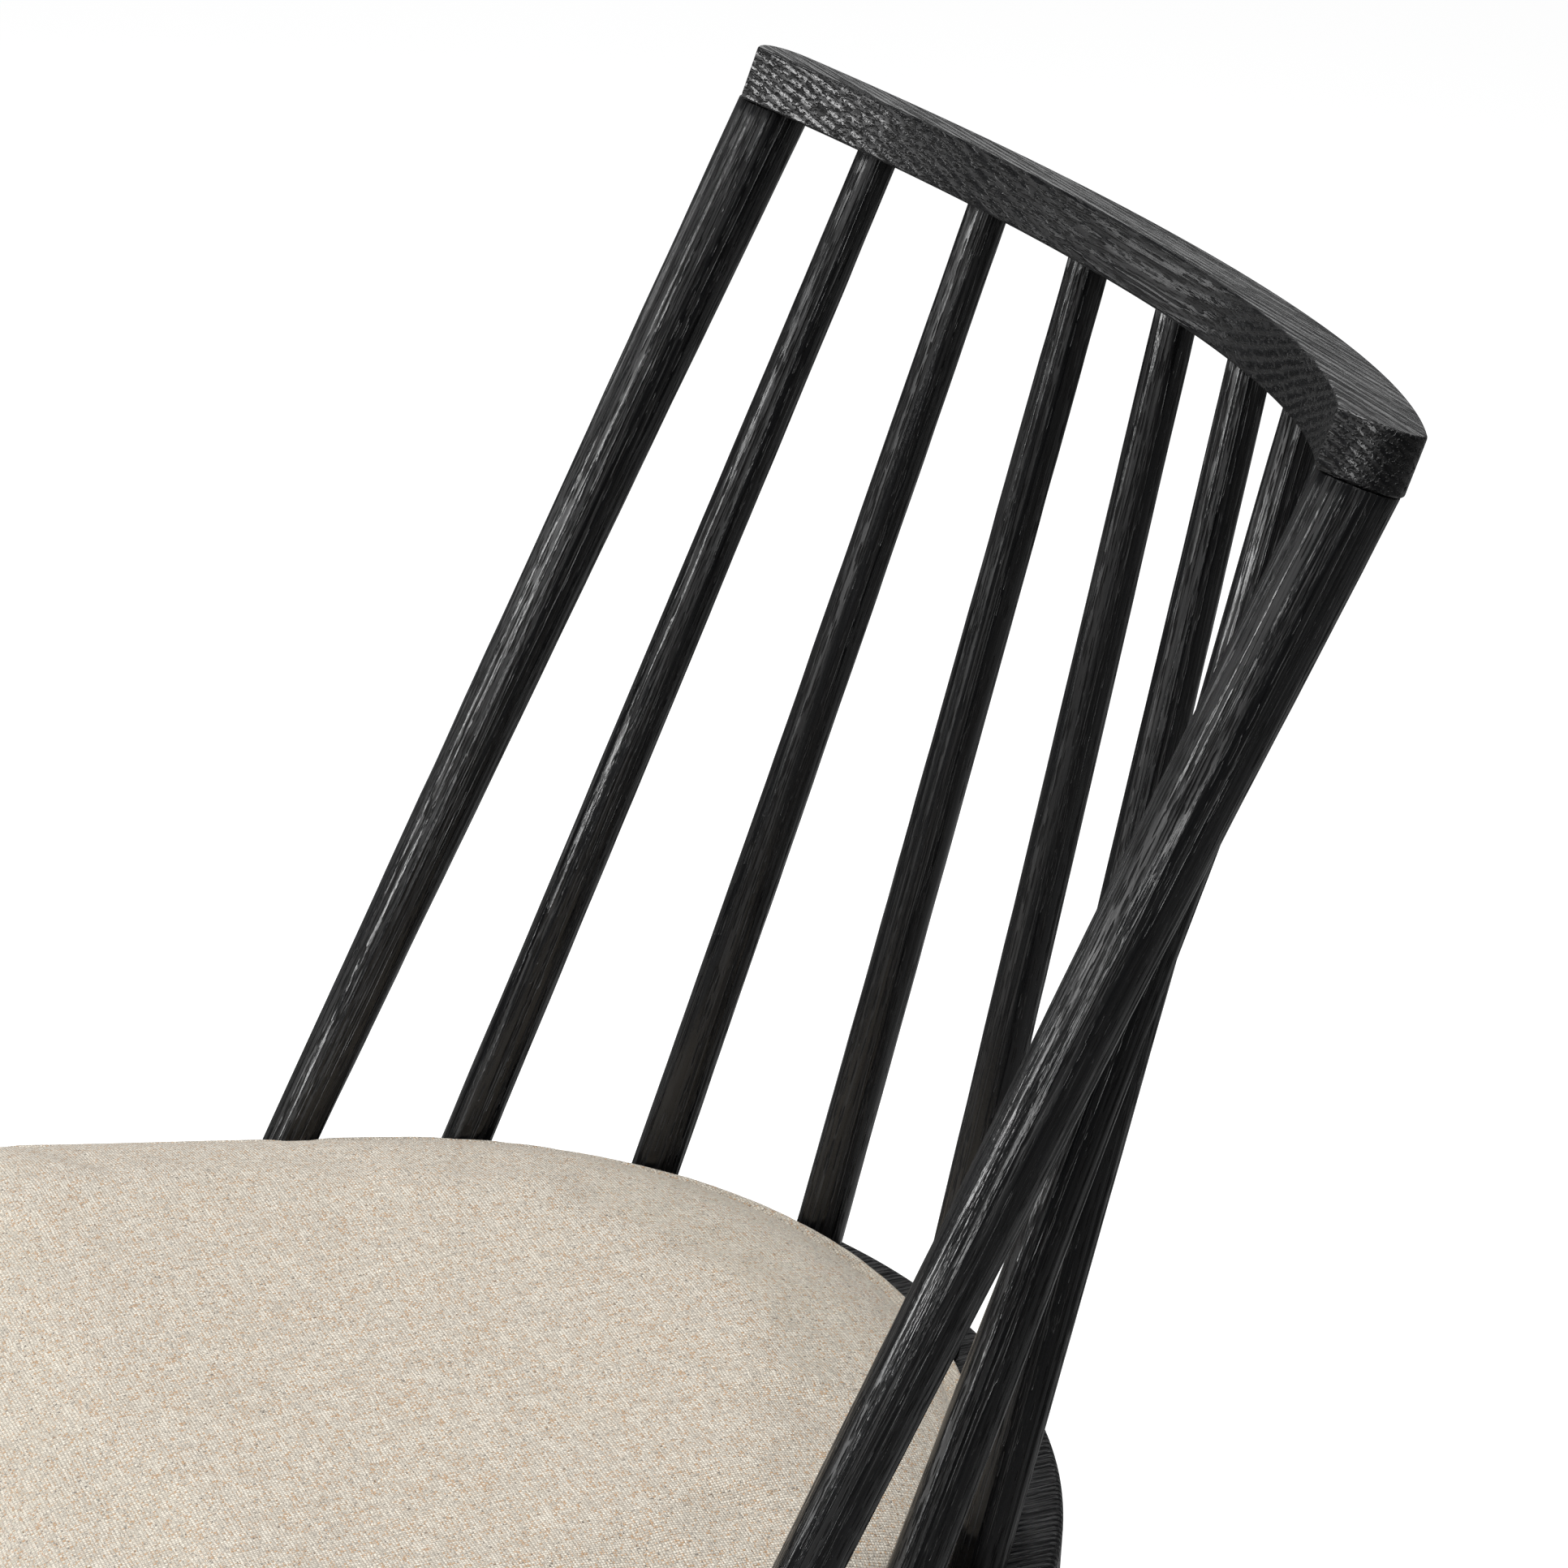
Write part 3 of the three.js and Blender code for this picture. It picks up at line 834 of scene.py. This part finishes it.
crestPiece, crestOrigin, crestBackward = makeCrest(crest)
carve(crestPiece, [
    roundCutter(bar["low"], bar["axis"], [
        (bar["length"] - crest["socket"], bar["tenonRadius"] + fits["gap"]),
        (bar["length"] + fits["socketEnd"], bar["tenonRadius"] + fits["gap"])])
    for bar in stickBars.values()])
layGrain(crestPiece, crestOrigin, np.array([1.0, 0, 0]), crestBackward, crest["heart"])
dress(crestPiece, "black_oak", "crest_rail")
print("crest rail shaped")


plank = {
    "backRadius": 236 * mm,
    "flare": 18.0,
    "cornerRadius": 92 * mm,
    "cornerY": -85 * mm,
    "frontRadius": 700 * mm,
    "edgeRound": 4 * mm,
    "screwRadius": 2.5 * mm,
    "screwHead": 4.8 * mm,
    "screwSink": 7 * mm,
    "clear": 10 * mm,          # how far below the plank a counterbore's cutter starts
    "heart": (0.34, 0.05),
    "halfGrid": 34,            # squares from the middle of its faces to their edge
}
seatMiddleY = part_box("seat_plank")[1].y - plank["backRadius"]


# The seat's outline drawn in by an inset, at equal shares of its own length, anticlockwise
def seatOutline(p, inset, count):
    flare = math.radians(p["flare"])
    cornerX = (p["backRadius"] - p["cornerRadius"] - p["cornerY"] * math.sin(flare)) / math.cos(flare)
    reach = p["frontRadius"] - p["cornerRadius"]
    frontY = p["cornerY"] + math.sqrt(reach ** 2 - cornerX ** 2)
    half = math.asin(cornerX / reach)
    arcs = [
        (0, 0, p["backRadius"], flare, math.pi - flare),
        (-cornerX, p["cornerY"], p["cornerRadius"], math.pi - flare, 1.5 * math.pi - half),
        (0, frontY, p["frontRadius"], 1.5 * math.pi - half, 1.5 * math.pi + half),
        (cornerX, p["cornerY"], p["cornerRadius"], 1.5 * math.pi + half, 2 * math.pi + flare),
    ]
    dense = []
    arcSteps = 240
    for x, y, radius, start, end in arcs:
        turn = np.linspace(start, end, arcSteps)
        dense.append(np.stack([x + (radius - inset) * np.cos(turn),
                               y + (radius - inset) * np.sin(turn)], 1))
    dense = np.concatenate(dense + [dense[0][:1]])
    dense[:, 1] += seatMiddleY
    reach = np.concatenate([[0], np.cumsum(np.linalg.norm(np.diff(dense, axis=0), axis=1))])
    wanted = np.linspace(0, reach[-1], count, endpoint=False)
    return np.stack([np.interp(wanted, reach, dense[:, k]) for k in (0, 1)], 1)


# A filled outline as square rings, counted from its centre to its edge
class Patch:
    def __init__(self, half):
        self.half = half
        self.edge = [self.square(half, n) for n in range(8 * half)]

    def square(self, ring, step):
        side, along = divmod(step, 2 * ring)
        corner = [(ring, -ring), (ring, ring), (-ring, ring), (-ring, -ring)][side]
        move = [(0, 1), (-1, 0), (0, -1), (1, 0)][side]
        return corner[0] + move[0] * along, corner[1] + move[1] * along

    # shares: how far each ring is from the centre, from 0 to 1 at the edge
    def fill(self, outline, shares, heightAt, points, base):
        half = self.half
        centre = outline.mean(0)
        index = {(0, 0): len(points)}
        points.append((*centre, heightAt(centre[None])[0]))
        for ring in range(1, half):
            spots = []
            for step in range(8 * ring):
                spot = step * half / ring
                first = int(spot) % (8 * half)
                part = spot - int(spot)
                edge = outline[first] * (1 - part) + outline[(first + 1) % (8 * half)] * part
                spots.append(centre + shares[ring] * (edge - centre))
            for step, (spot, height) in enumerate(zip(spots, heightAt(np.array(spots)))):
                index[self.square(ring, step)] = len(points)
                points.append((*spot, height))
        for step, cell in enumerate(self.edge):
            index[cell] = base + step
        faces = []
        for i in range(-half, half):
            for j in range(-half, half):
                faces.append((index[i, j], index[i + 1, j], index[i + 1, j + 1], index[i, j + 1]))
        return faces


def levelAt(height):
    return lambda spots: np.full(len(spots), height)


# The outline, turned to start where the patch's edge does
def patchOutline(p, inset, half):
    loop = seatOutline(p, inset, 8 * half)
    return np.roll(loop, half, axis=0)


def makePlank(p):
    half = p["halfGrid"]
    patch = Patch(half)
    levels = easedLevels(seatTop - seatUnder, p["edgeRound"], steps=6, wallSteps=4)
    points = []
    for inset, height in levels:
        loop = patchOutline(p, inset, half)
        points.extend((x, y, seatUnder + height) for x, y in loop)
    faces = wallFaces(len(levels), 8 * half)
    shares = np.linspace(0, 1, half + 1)
    for level in (0, len(levels) - 1):
        loop = patchOutline(p, levels[level][0], half)
        faces += patch.fill(loop, shares, levelAt(seatUnder + levels[level][1]),
                            points, level * 8 * half)
    return makePiece("seat_plank_sawn", points, faces)


legNames = [f"leg_{end}_{side}" for side in ("left", "right") for end in ("front", "rear")]
legs = {
    "topTenon": 11 * mm,
    "tenonRoom": 3 * mm,       # how far past its tenon a corner is on the leg's own rim
    "onBody": 0.5 * mm,        # the same for a corner on the leg's body
    "nailRoom": 6 * mm,        # how far out a foot's corner is past its nail hole
    "hollow": 0.15 * mm,
    "nailHole": 1.7 * mm,
}


# A leg has a tenon only at its top: its foot and its shoulder under the seat are cut level
def readLeg(node):
    points = cadPoints(node)
    onFoot = points[:, 2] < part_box(node)[0].z + fits["onFace"]
    onShoulder = np.abs(points[:, 2] - (seatUnder - fits["gap"])) < fits["onFace"]
    middles = []
    for face, room in ((points[onFoot], legs["nailRoom"]),
                       (points[onShoulder], legs["topTenon"] + legs["tenonRoom"])):
        rim = face[np.linalg.norm(face - face.mean(0), axis=1) > room]
        middles.append((rim.max(0) + rim.min(0)) / 2)
    axis = unit(middles[1] - middles[0])
    reach, radius = aboutLine(points, middles[0], axis)
    body = (radius > legs["topTenon"] + legs["onBody"]) & (onFoot | onShoulder)
    return {"low": middles[0], "axis": axis, "length": float(reach.max()),
            "radiusAt": readTaper(reach, radius, body), "tenonRadius": legs["topTenon"],
            "tenonLow": False}


legBars = {node: readLeg(node) for node in legNames}
screwNodes = [f"pad_screw_{i}" for i in range(1, 5)]

plankPiece = makePlank(plank)
plankCutters = []
for bar in stickBars.values():
    radius = bar["tenonRadius"] + fits["gap"]
    plankCutters.append(roundCutter(bar["low"], bar["axis"], [
        (-fits["socketEnd"], radius), (fits["past"], radius)]))
for bar in legBars.values():
    radius = bar["tenonRadius"] + fits["gap"]
    plankCutters.append(roundCutter(bar["low"], bar["axis"], [
        (bar["length"] - fits["past"], radius), (bar["length"] + fits["socketEnd"], radius)], 48))
for node in screwNodes:
    place = boxFoot(node)
    place[2] = seatUnder
    plankCutters.append(roundCutter(place, upward, [
        (-plank["clear"], plank["screwHead"]), (plank["screwSink"], plank["screwHead"]),
        (plank["screwSink"], plank["screwRadius"]), (fits["past"], plank["screwRadius"])]))
carve(plankPiece, plankCutters)
layGrain(plankPiece, np.array([0, seatMiddleY, seatTop]), np.array([0, 1.0, 0]),
         np.array([1.0, 0, 0]), plank["heart"])
dress(plankPiece, "black_oak", "seat_plank", finish="plank_oak")
print("seat plank shaped")


stretcher = {
    "tenon": 6 * mm,
    "crossTenon": 5 * mm,
    "endRadius": 8 * mm,
    "midRadius": 10 * mm,
    "bulge": 0.25,             # how much the swell rounds out between its ends and middle
    "hollow": 0.12 * mm,
}
# The stretchers swell from the middle line of one neighbour to that of the other
stretcherHosts = {
    "side_stretcher_left": ("leg_front_left", "leg_rear_left"),
    "side_stretcher_right": ("leg_front_right", "leg_rear_right"),
    "cross_stretcher": ("side_stretcher_left", "side_stretcher_right"),
}


# How far along one line its nearest point to another line is
def nearestReach(start, axis, otherStart, otherAxis):
    cross = np.cross(axis, otherAxis)
    gap = otherStart - start
    return float(np.dot(np.cross(gap, otherAxis), cross) / np.dot(cross, cross))


def readStretcher(node, hosts, tenonRadius):
    low, high = tenonLine(node)
    axis = unit(high - low)
    meets = sorted(nearestReach(low, axis, host["low"], host["axis"]) for host in hosts)
    middle, half = sum(meets) / 2, (meets[1] - meets[0]) / 2

    def radiusAt(s):
        share = np.clip(1 - np.abs(s - middle) / half, 0, 1)
        smooth = share * (1 + stretcher["bulge"] - stretcher["bulge"] * share)
        return stretcher["endRadius"] + (stretcher["midRadius"] - stretcher["endRadius"]) * smooth

    return {"low": low, "axis": axis, "length": float(np.linalg.norm(high - low)),
            "radiusAt": radiusAt, "limits": meets,
            "tenonRadius": tenonRadius, "tenonLow": True}


# Opens the socket that a bar's tenons go into
def tenonSocket(start, axis, length, tenonRadius):
    radius = tenonRadius + fits["gap"]
    return roundCutter(start, axis, [
        (-fits["socketEnd"], radius), (length + fits["socketEnd"], radius)])


crossLow, crossHigh = tenonLine("cross_stretcher")
crossSocket = tenonSocket(crossLow, unit(crossHigh - crossLow),
                          float(np.linalg.norm(crossHigh - crossLow)), stretcher["crossTenon"])
rodBars = dict(legBars)
for node, hosts in stretcherHosts.items():
    isCross = node.startswith("cross")
    tenon = stretcher["crossTenon" if isCross else "tenon"]
    ends = [rodBars[host] for host in hosts]
    bar = rodBars[node] = readStretcher(node, ends, tenon)
    ends.sort(key=lambda host: nearestReach(bar["low"], bar["axis"], host["low"], host["axis"]))
    piece = turnBar(f"{node}_turned", bar, barFace(ends[0]), barFace(ends[1]),
                    hollow=stretcher["hollow"])
    if not isCross:
        carve(piece, [crossSocket])
    layGrain(piece, bar["low"], bar["axis"], upward, treeHeart())
    dress(piece, "black_oak", node)

for node, bar in legBars.items():
    footFace = planeFace(np.array([0, 0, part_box(node)[0].z]), upward)
    underSeat = planeFace(np.array([0, 0, seatUnder - fits["gap"]]), -upward)
    piece = turnBar(f"{node}_turned", bar, footFace, underSeat, hollow=legs["hollow"])
    host = rodBars["side_stretcher_" + node.split("_")[2]]
    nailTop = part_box(node.replace("leg", "glide_nail"))[1].z
    nailPlace = boxFoot(node.replace("leg", "glide_nail"))
    nailPlace[2] = 0
    carve(piece, [
        tenonSocket(host["low"], host["axis"], host["length"], host["tenonRadius"]),
        roundCutter(nailPlace, upward, [
            (0, legs["nailHole"]), (nailTop + fits["socketEnd"], legs["nailHole"])])])
    layGrain(piece, bar["low"], bar["axis"], upward, treeHeart())
    dress(piece, "black_oak", node)
print("legs and stretchers turned")


glide = {
    "ease": 1.6 * mm,
    "nailHole": 1.7 * mm,
    "headRoom": 4.3 * mm,
    "headLow": 1.9 * mm,
    "headHigh": 3.7 * mm,
}


# A moulded pad whose nail head lies in a pocket, open round the nail's shank
def makeGlide(node, g):
    low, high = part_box(node)
    radius, height = (high.x - low.x) / 2, high.z - low.z
    turn = np.linspace(0, math.pi / 2, 6)
    foot = [(g["ease"] * (1 - math.cos(t)), radius - g["ease"] * (1 - math.sin(t))) for t in turn]
    top = [(height - z / 2, r) for z, r in foot[::-1]]
    profile = foot + top + [(height, g["nailHole"]), (g["headHigh"], g["nailHole"]),
                            (g["headHigh"], g["headRoom"]), (g["headLow"], g["headRoom"])]
    points, faces = roundCutter(boxFoot(node), upward, profile, sides=40)
    piece = makePiece(node.replace("glide_pad", "glide_moulding"), points, faces, sharpAngle=50)
    dress(piece, "glide_nylon", node)


# A round-headed wood screw with a square drive, seen up its counterbore
screw = {
    "shank": 2.2 * mm,
    "root": 1.6 * mm,
    "tip": 0.3 * mm,
    "head": 4.5 * mm,
    "headThick": 3 * mm,
    "headRise": 0.35,          # how much of the head's thickness is domed
    "drive": 1.25 * mm,
    "driveTaper": 0.9,
    "driveDepth": 1.8 * mm,
    "pitch": 2.2 * mm,
    "smooth": 0.55,            # the share of its length that has no thread
}


def makeScrew(node, s):
    low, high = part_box(node)
    centre = boxFoot(node)
    length = high.z - low.z
    profile = [(s["driveDepth"], s["drive"] * s["driveTaper"]), (0.0, s["drive"])]
    for turn in np.linspace(0.2, math.pi / 2, 7):
        profile.append((s["headThick"] * s["headRise"] * (1 - math.cos(turn)),
                        s["drive"] + (s["head"] - s["drive"]) * math.sin(turn)))
    profile += [(s["headThick"], s["head"]), (s["headThick"], s["shank"])]
    reach = length * s["smooth"]
    profile.append((reach, s["shank"]))
    while reach + s["pitch"] < length - s["pitch"]:
        profile += [(reach + s["pitch"] * 0.3, s["root"]), (reach + s["pitch"] * 0.7, s["root"]),
                    (reach + s["pitch"], s["shank"])]
        reach += s["pitch"]
    profile.append((length, s["tip"]))
    sides = 32
    points, faces = roundCutter(centre, upward, profile, sides)
    # The drive's rings are pulled out to a square
    for k in range(2 * sides):
        flat = points[k, :2] - centre[:2]
        turn = math.atan2(flat[1], flat[0])
        points[k, :2] = centre[:2] + flat / max(abs(math.cos(turn)), abs(math.sin(turn)))
    piece = makePiece(node.replace("pad_screw", "wood_screw"), points, faces)
    dress(piece, "steel", node)


# A node that is plain enough to be seen as it is gets its finish
def finishNode(node, finish):
    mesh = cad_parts[node].data
    mesh.materials.clear()
    mesh.materials.append(materials[finish])


for name in legNames:
    makeGlide(name.replace("leg", "glide_pad"), glide)
    finishNode(name.replace("leg", "glide_nail"), "steel")
for node in screwNodes:
    makeScrew(node, screw)
finishNode("pad_board", "plywood")
print("glides and screws made")


pad = {
    "halfGrid": 44,
    "inset": 33 * mm,          # the boxing's face in from the plank's edge
    "seam": 21.0 * mm,         # the top seam's height above the plank
    "crown": 20.0 * mm,        # how far the middle stands above the seam before it swells
    "shoulder": 90 * mm,       # how far in from the seam the crown goes level
    "crownCurve": 4.6,         # how quickly it goes level
    "reach": 200 * mm,         # about how far it is from the pad's middle to its seam
    "bottom": 0.6 * mm,
    "boardInset": 43.5 * mm,
    "swell": 3 * mm,
    "flange": 4.2 * mm,        # the ridge of sewn edges at the seam
    "flangeRise": 1.6 * mm,
    "groove": 4.2 * mm,        # how deep the stitch line inside the ridge is drawn in
    "grooveGap": 1.6 * mm,     # how far its middle is past the ridge
    "grooveWidth": 2.2 * mm,
    "underGroove": 0.6,        # how deep the line below the ridge is, as a share
    "underGap": 2.2 * mm,
    "underWidth": 1.0 * mm,
    "sewnReach": 14 * mm,      # how far from the seam its shape is felt
    "stickRoom": 0.5 * mm,
    "stickSoftness": 3 * mm,
    "stickCurve": 2.2,         # how sharply the cloth turns round a stick
    "fill": 0.8,
    # How far the rings nearest to the seam are from it, so that the sewn ridge has its own
    "fineRings": (14 * mm, 10.5 * mm, 7.5 * mm, 5.2 * mm, 3.6 * mm, 2.4 * mm, 1.2 * mm, 0),
    "wideRing": 18 * mm,
}


def makeFinder(points):
    finder = KDTree(len(points))
    for i, point in enumerate(points):
        finder.insert(Vector(point), i)
    finder.balance()
    return finder


# The cover's side as (inset, height): in under the board's edge, along the bottom and up to the
# seam. The first six levels stay where they are when the cover swells.
def coverLevels(p, boardZ):
    bottom = seatTop + p["bottom"]
    seamZ = seatTop + p["seam"]
    levels = [(p["boardInset"], boardZ), (p["boardInset"], bottom + 5 * mm),
              (p["boardInset"], bottom + 0.5 * mm), (p["boardInset"] - 0.8 * mm, bottom),
              (p["inset"] + 1.5 * mm, bottom), (p["inset"] + 0.4 * mm, bottom + 0.8 * mm)]
    for height in np.linspace(3 * mm, p["seam"] - 4 * mm, 7):
        levels.append((p["inset"], seatTop + height))
    return levels + [(p["inset"], seamZ - 2.4 * mm), (p["inset"], seamZ - 1.2 * mm),
                     (p["inset"], seamZ)]


# Makes the cover, with what is held and sewn and where its seam and its top lie in the mesh
def makePad(p):
    half = p["halfGrid"]
    patch = Patch(half)
    size = 8 * half
    seamZ = seatTop + p["seam"]
    edge = patchOutline(plank, p["inset"], half)
    finder = makeFinder([(x, y, 0) for x, y in edge])

    def crownAt(spots):
        heights = []
        for x, y in spots:
            share = min(1.0, finder.find(Vector((x, y, 0)))[2] / p["shoulder"])
            heights.append(seamZ + p["crown"] * (1 - (1 - share) ** p["crownCurve"]))
        return np.array(heights)

    fine = p["fineRings"]
    inner = np.linspace(0, 1 - p["wideRing"] / p["reach"], half - len(fine) + 1)
    shares = np.concatenate([inner, 1 - np.array(fine) / p["reach"]])
    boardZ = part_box("pad_board")[1].z + fits["gap"]
    levels = coverLevels(p, boardZ)
    points = []
    for inset, height in levels:
        points.extend((x, y, height) for x, y in patchOutline(plank, inset, half))
    faces = wallFaces(len(levels), size)
    seam = (len(levels) - 1) * size
    topStart = len(points)
    faces += patch.fill(edge, shares, crownAt, points, seam)
    topEnd = len(points)
    underside = patchOutline(plank, p["boardInset"], half)
    faces += patch.fill(underside, np.linspace(0, 1, half + 1), levelAt(boardZ), points, 0)
    piece = makePiece("seat_pad_cover", points, faces, sharpAngle=180)
    held = [i for i in range(len(points)) if i < 6 * size or i >= topEnd]
    rows = {"seam": seam, "size": size, "topStart": topStart, "topEnd": topEnd, "edge": edge}
    return piece, held, list(range(seam, seam + size)), rows


cover = {
    "sewnHold": 0.75,          # how firmly the seam is held while the cover swells
    "frames": 20,
    "quality": 5,
    "mass": 0.3,
    "stretch": 15,
    "bend": 0.6,
    "pressure": 4.0,
}


# Blows the cover up a little: the base is held, the seam is held loosely
def swell(piece, held, sewn, cap, c):
    rest = meshPoints(piece)
    group = piece.vertex_groups.new(name="held")
    group.add(held, 1.0, "REPLACE")
    group.add(sewn, c["sewnHold"], "REPLACE")
    cloth = piece.modifiers.new("cloth", "CLOTH")
    settings = cloth.settings
    settings.quality = c["quality"]
    settings.mass = c["mass"]
    settings.tension_stiffness = settings.compression_stiffness = c["stretch"]
    settings.bending_stiffness = c["bend"]
    settings.use_pressure = True
    settings.uniform_pressure_force = c["pressure"]
    settings.vertex_group_mass = "held"
    settings.effector_weights.gravity = 0
    cloth.collision_settings.use_collision = False
    cloth.point_cache.frame_start = 1
    cloth.point_cache.frame_end = c["frames"]
    for number in range(1, c["frames"] + 1):
        scene.frame_set(number)
    solved = piece.evaluated_get(bpy.context.evaluated_depsgraph_get())
    step = meshPoints(solved) - rest
    length = np.linalg.norm(step, axis=1)
    print("cloth moved up to", round(float(length.max()) / mm, 1), "mm")
    limit = cap * np.tanh(length / cap) / np.maximum(length, 1e-9)
    piece.modifiers.clear()
    movePoints(piece, rest + step * limit[:, None])
    scene.frame_set(1)


# Draws in the stitch line beside the seam and raises the ridge of sewn edges
def sewSeam(piece, p, rows):
    seam, size = rows["seam"], rows["size"]
    points = meshPoints(piece)
    normals = np.array([v.normal for v in piece.data.vertices])
    finder = makeFinder(points[seam:seam + size])
    side = range(seam - 3 * size, seam + size)
    for i in [*side, *range(rows["topStart"], rows["topEnd"])]:
        distance = finder.find(Vector(points[i]))[2]
        if distance > p["sewnReach"]:
            continue
        signed = distance if i >= rows["topStart"] else -distance
        groove = math.exp(-((signed - p["flange"] - p["grooveGap"]) / p["grooveWidth"]) ** 2)
        under = math.exp(-((signed + p["underGap"]) / p["underWidth"]) ** 2)
        ridge = math.exp(-((signed - p["flange"] * 0.35) / (p["flange"] * 0.5)) ** 4)
        drawn = p["groove"] * groove + p["groove"] * p["underGroove"] * under
        points[i] += normals[i] * (p["flangeRise"] * ridge - drawn)
    movePoints(piece, points)


# Presses the pad's side in where a stick stands against it
def yieldToSticks(piece, p):
    points = meshPoints(piece)
    soft, curve = p["stickSoftness"], p["stickCurve"]
    for bar in stickBars.values():
        reach, distance = aboutLine(points, bar["low"], bar["axis"])
        away = points - bar["low"] - reach[:, None] * bar["axis"]
        wanted = bar["radiusAt"](reach) + p["stickRoom"]
        # A soft floor on the distance: far points stay and near ones slide off the stick
        over = (wanted - distance) / soft
        push = soft * np.log1p(np.exp(np.clip(over * curve, -40, 40))) / curve
        push = np.where(distance < wanted + 5 * soft, push, 0)
        inward = away / np.maximum(distance, 1e-6)[:, None]
        inward[:, 2] = 0
        points += inward * push[:, None]
    movePoints(piece, points)


# Keeps each point's place on the cloth: flat on the top, round and up on the boxing
def layWeave(piece, rows):
    points = meshPoints(piece)
    weave = points.copy()
    edge, size = rows["edge"], rows["size"]
    step = np.linalg.norm(np.roll(edge, -1, axis=0) - edge, axis=1)
    around = np.concatenate([[0], np.cumsum(step)[:-1]])
    for k in range(rows["seam"] // size):
        level = slice(k * size, (k + 1) * size)
        weave[level, 0] = around
        weave[level, 1] = points[level, 2]
        weave[level, 2] = 0
    keepField(piece, "weave", weave)


padPiece, padHeld, padSewn, padRows = makePad(pad)
swell(padPiece, padHeld, padSewn, pad["swell"], cover)
sewSeam(padPiece, pad, padRows)
yieldToSticks(padPiece, pad)
layWeave(padPiece, padRows)
rounding = padPiece.modifiers.new("rounding", "SUBSURF")
rounding.levels = rounding.render_levels = 1
rounded = solvedMesh(padPiece)
padPiece.modifiers.clear()
padPiece.data = rounded
dress(padPiece, "pad_fabric", "seat_pad")
print("seat pad sewn")


studio = {
    "floor": (0.34, 0.34, 0.34),
    "floorHalf": 9.0,
    "floorGlow": 0.90,         # lifts the floor to white where it is looked at
    "surroundings": 0.11,
    "surroundingsTint": (0.97, 0.985, 1),
    "backdrop": 1.0,
}
# name: where it stands, what it faces, width and height, watts
lights = {
    "front_softbox": ((-0.35, -2.3, 1.15), (0, 0.05, 0.62), (0.36, 1.0), 28),
    "camera_side_strip": ((1.55, -1.75, 1.25), (0, 0.0, 0.7), (0.35, 1.2), 14),
    "overhead_softbox": ((0.0, 0.1, 2.7), (0, 0, 0.4), (1.8, 1.8), 70),
    "rear_low_panel": ((-2.6, 1.9, 1.05), (0, 0.2, 0.8), (2.2, 0.7), 4.2),
    "front_left_card": ((-2.1, -1.45, 1.0), (0, 0.1, 0.85), (1.5, 0.45), 5.0),
}
white = (1, 1, 1, 1)


def makeFloor(s):
    half = s["floorHalf"]
    corners = [(-half, -half, 0), (half, -half, 0), (half, half, 0), (-half, half, 0)]
    floor = makePiece("studio_floor", corners, [(0, 1, 2, 3)])
    sheet = Sheet(bpy.data.materials.new("pale_floor"))
    seen = sheet.node("ShaderNodeLightPath", {}, {}, "Is Camera Ray")
    matt = sheet.node("ShaderNodeBsdfDiffuse", {}, {"Color": (*s["floor"], 1)})
    glow = sheet.node("ShaderNodeEmission", {}, {"Color": white, "Strength": s["floorGlow"]})
    lifted = sheet.node("ShaderNodeAddShader", {}, (matt, glow))
    sheet.node("ShaderNodeOutputMaterial", {}, {
        "Surface": sheet.node("ShaderNodeMixShader", {}, (seen, matt, lifted))})
    floor.data.materials.append(sheet.owner)


# White where it is looked at, and a dim even light on the chair
def makeSurroundings(s):
    scene.world = bpy.data.worlds.new("studio")
    sheet = Sheet(scene.world)
    seen = sheet.node("ShaderNodeLightPath", {}, {}, "Is Camera Ray")
    around = sheet.node("ShaderNodeBackground", {}, {
        "Color": (*s["surroundingsTint"], 1), "Strength": s["surroundings"]})
    backdrop = sheet.node("ShaderNodeBackground", {}, {"Color": white, "Strength": s["backdrop"]})
    sheet.node("ShaderNodeOutputWorld", {}, {
        "Surface": sheet.node("ShaderNodeMixShader", {}, (seen, around, backdrop))})


def makeLight(name, place, target, size, watts):
    data = bpy.data.lights.new(name, "AREA")
    data.shape = "RECTANGLE"
    data.size, data.size_y = size
    data.energy = watts
    lamp = bpy.data.objects.new(name, data)
    lamp.location = place
    lamp.rotation_euler = (Vector(target) - Vector(place)).to_track_quat("-Z", "Y").to_euler()
    lamp.visible_camera = False
    scene.collection.objects.link(lamp)


makeFloor(studio)
makeSurroundings(studio)
for name, values in lights.items():
    makeLight(name, *values)
scene.view_settings.view_transform = "Standard"
scene.view_settings.look = "None"
scene.view_settings.exposure = 0.0
print("studio set")
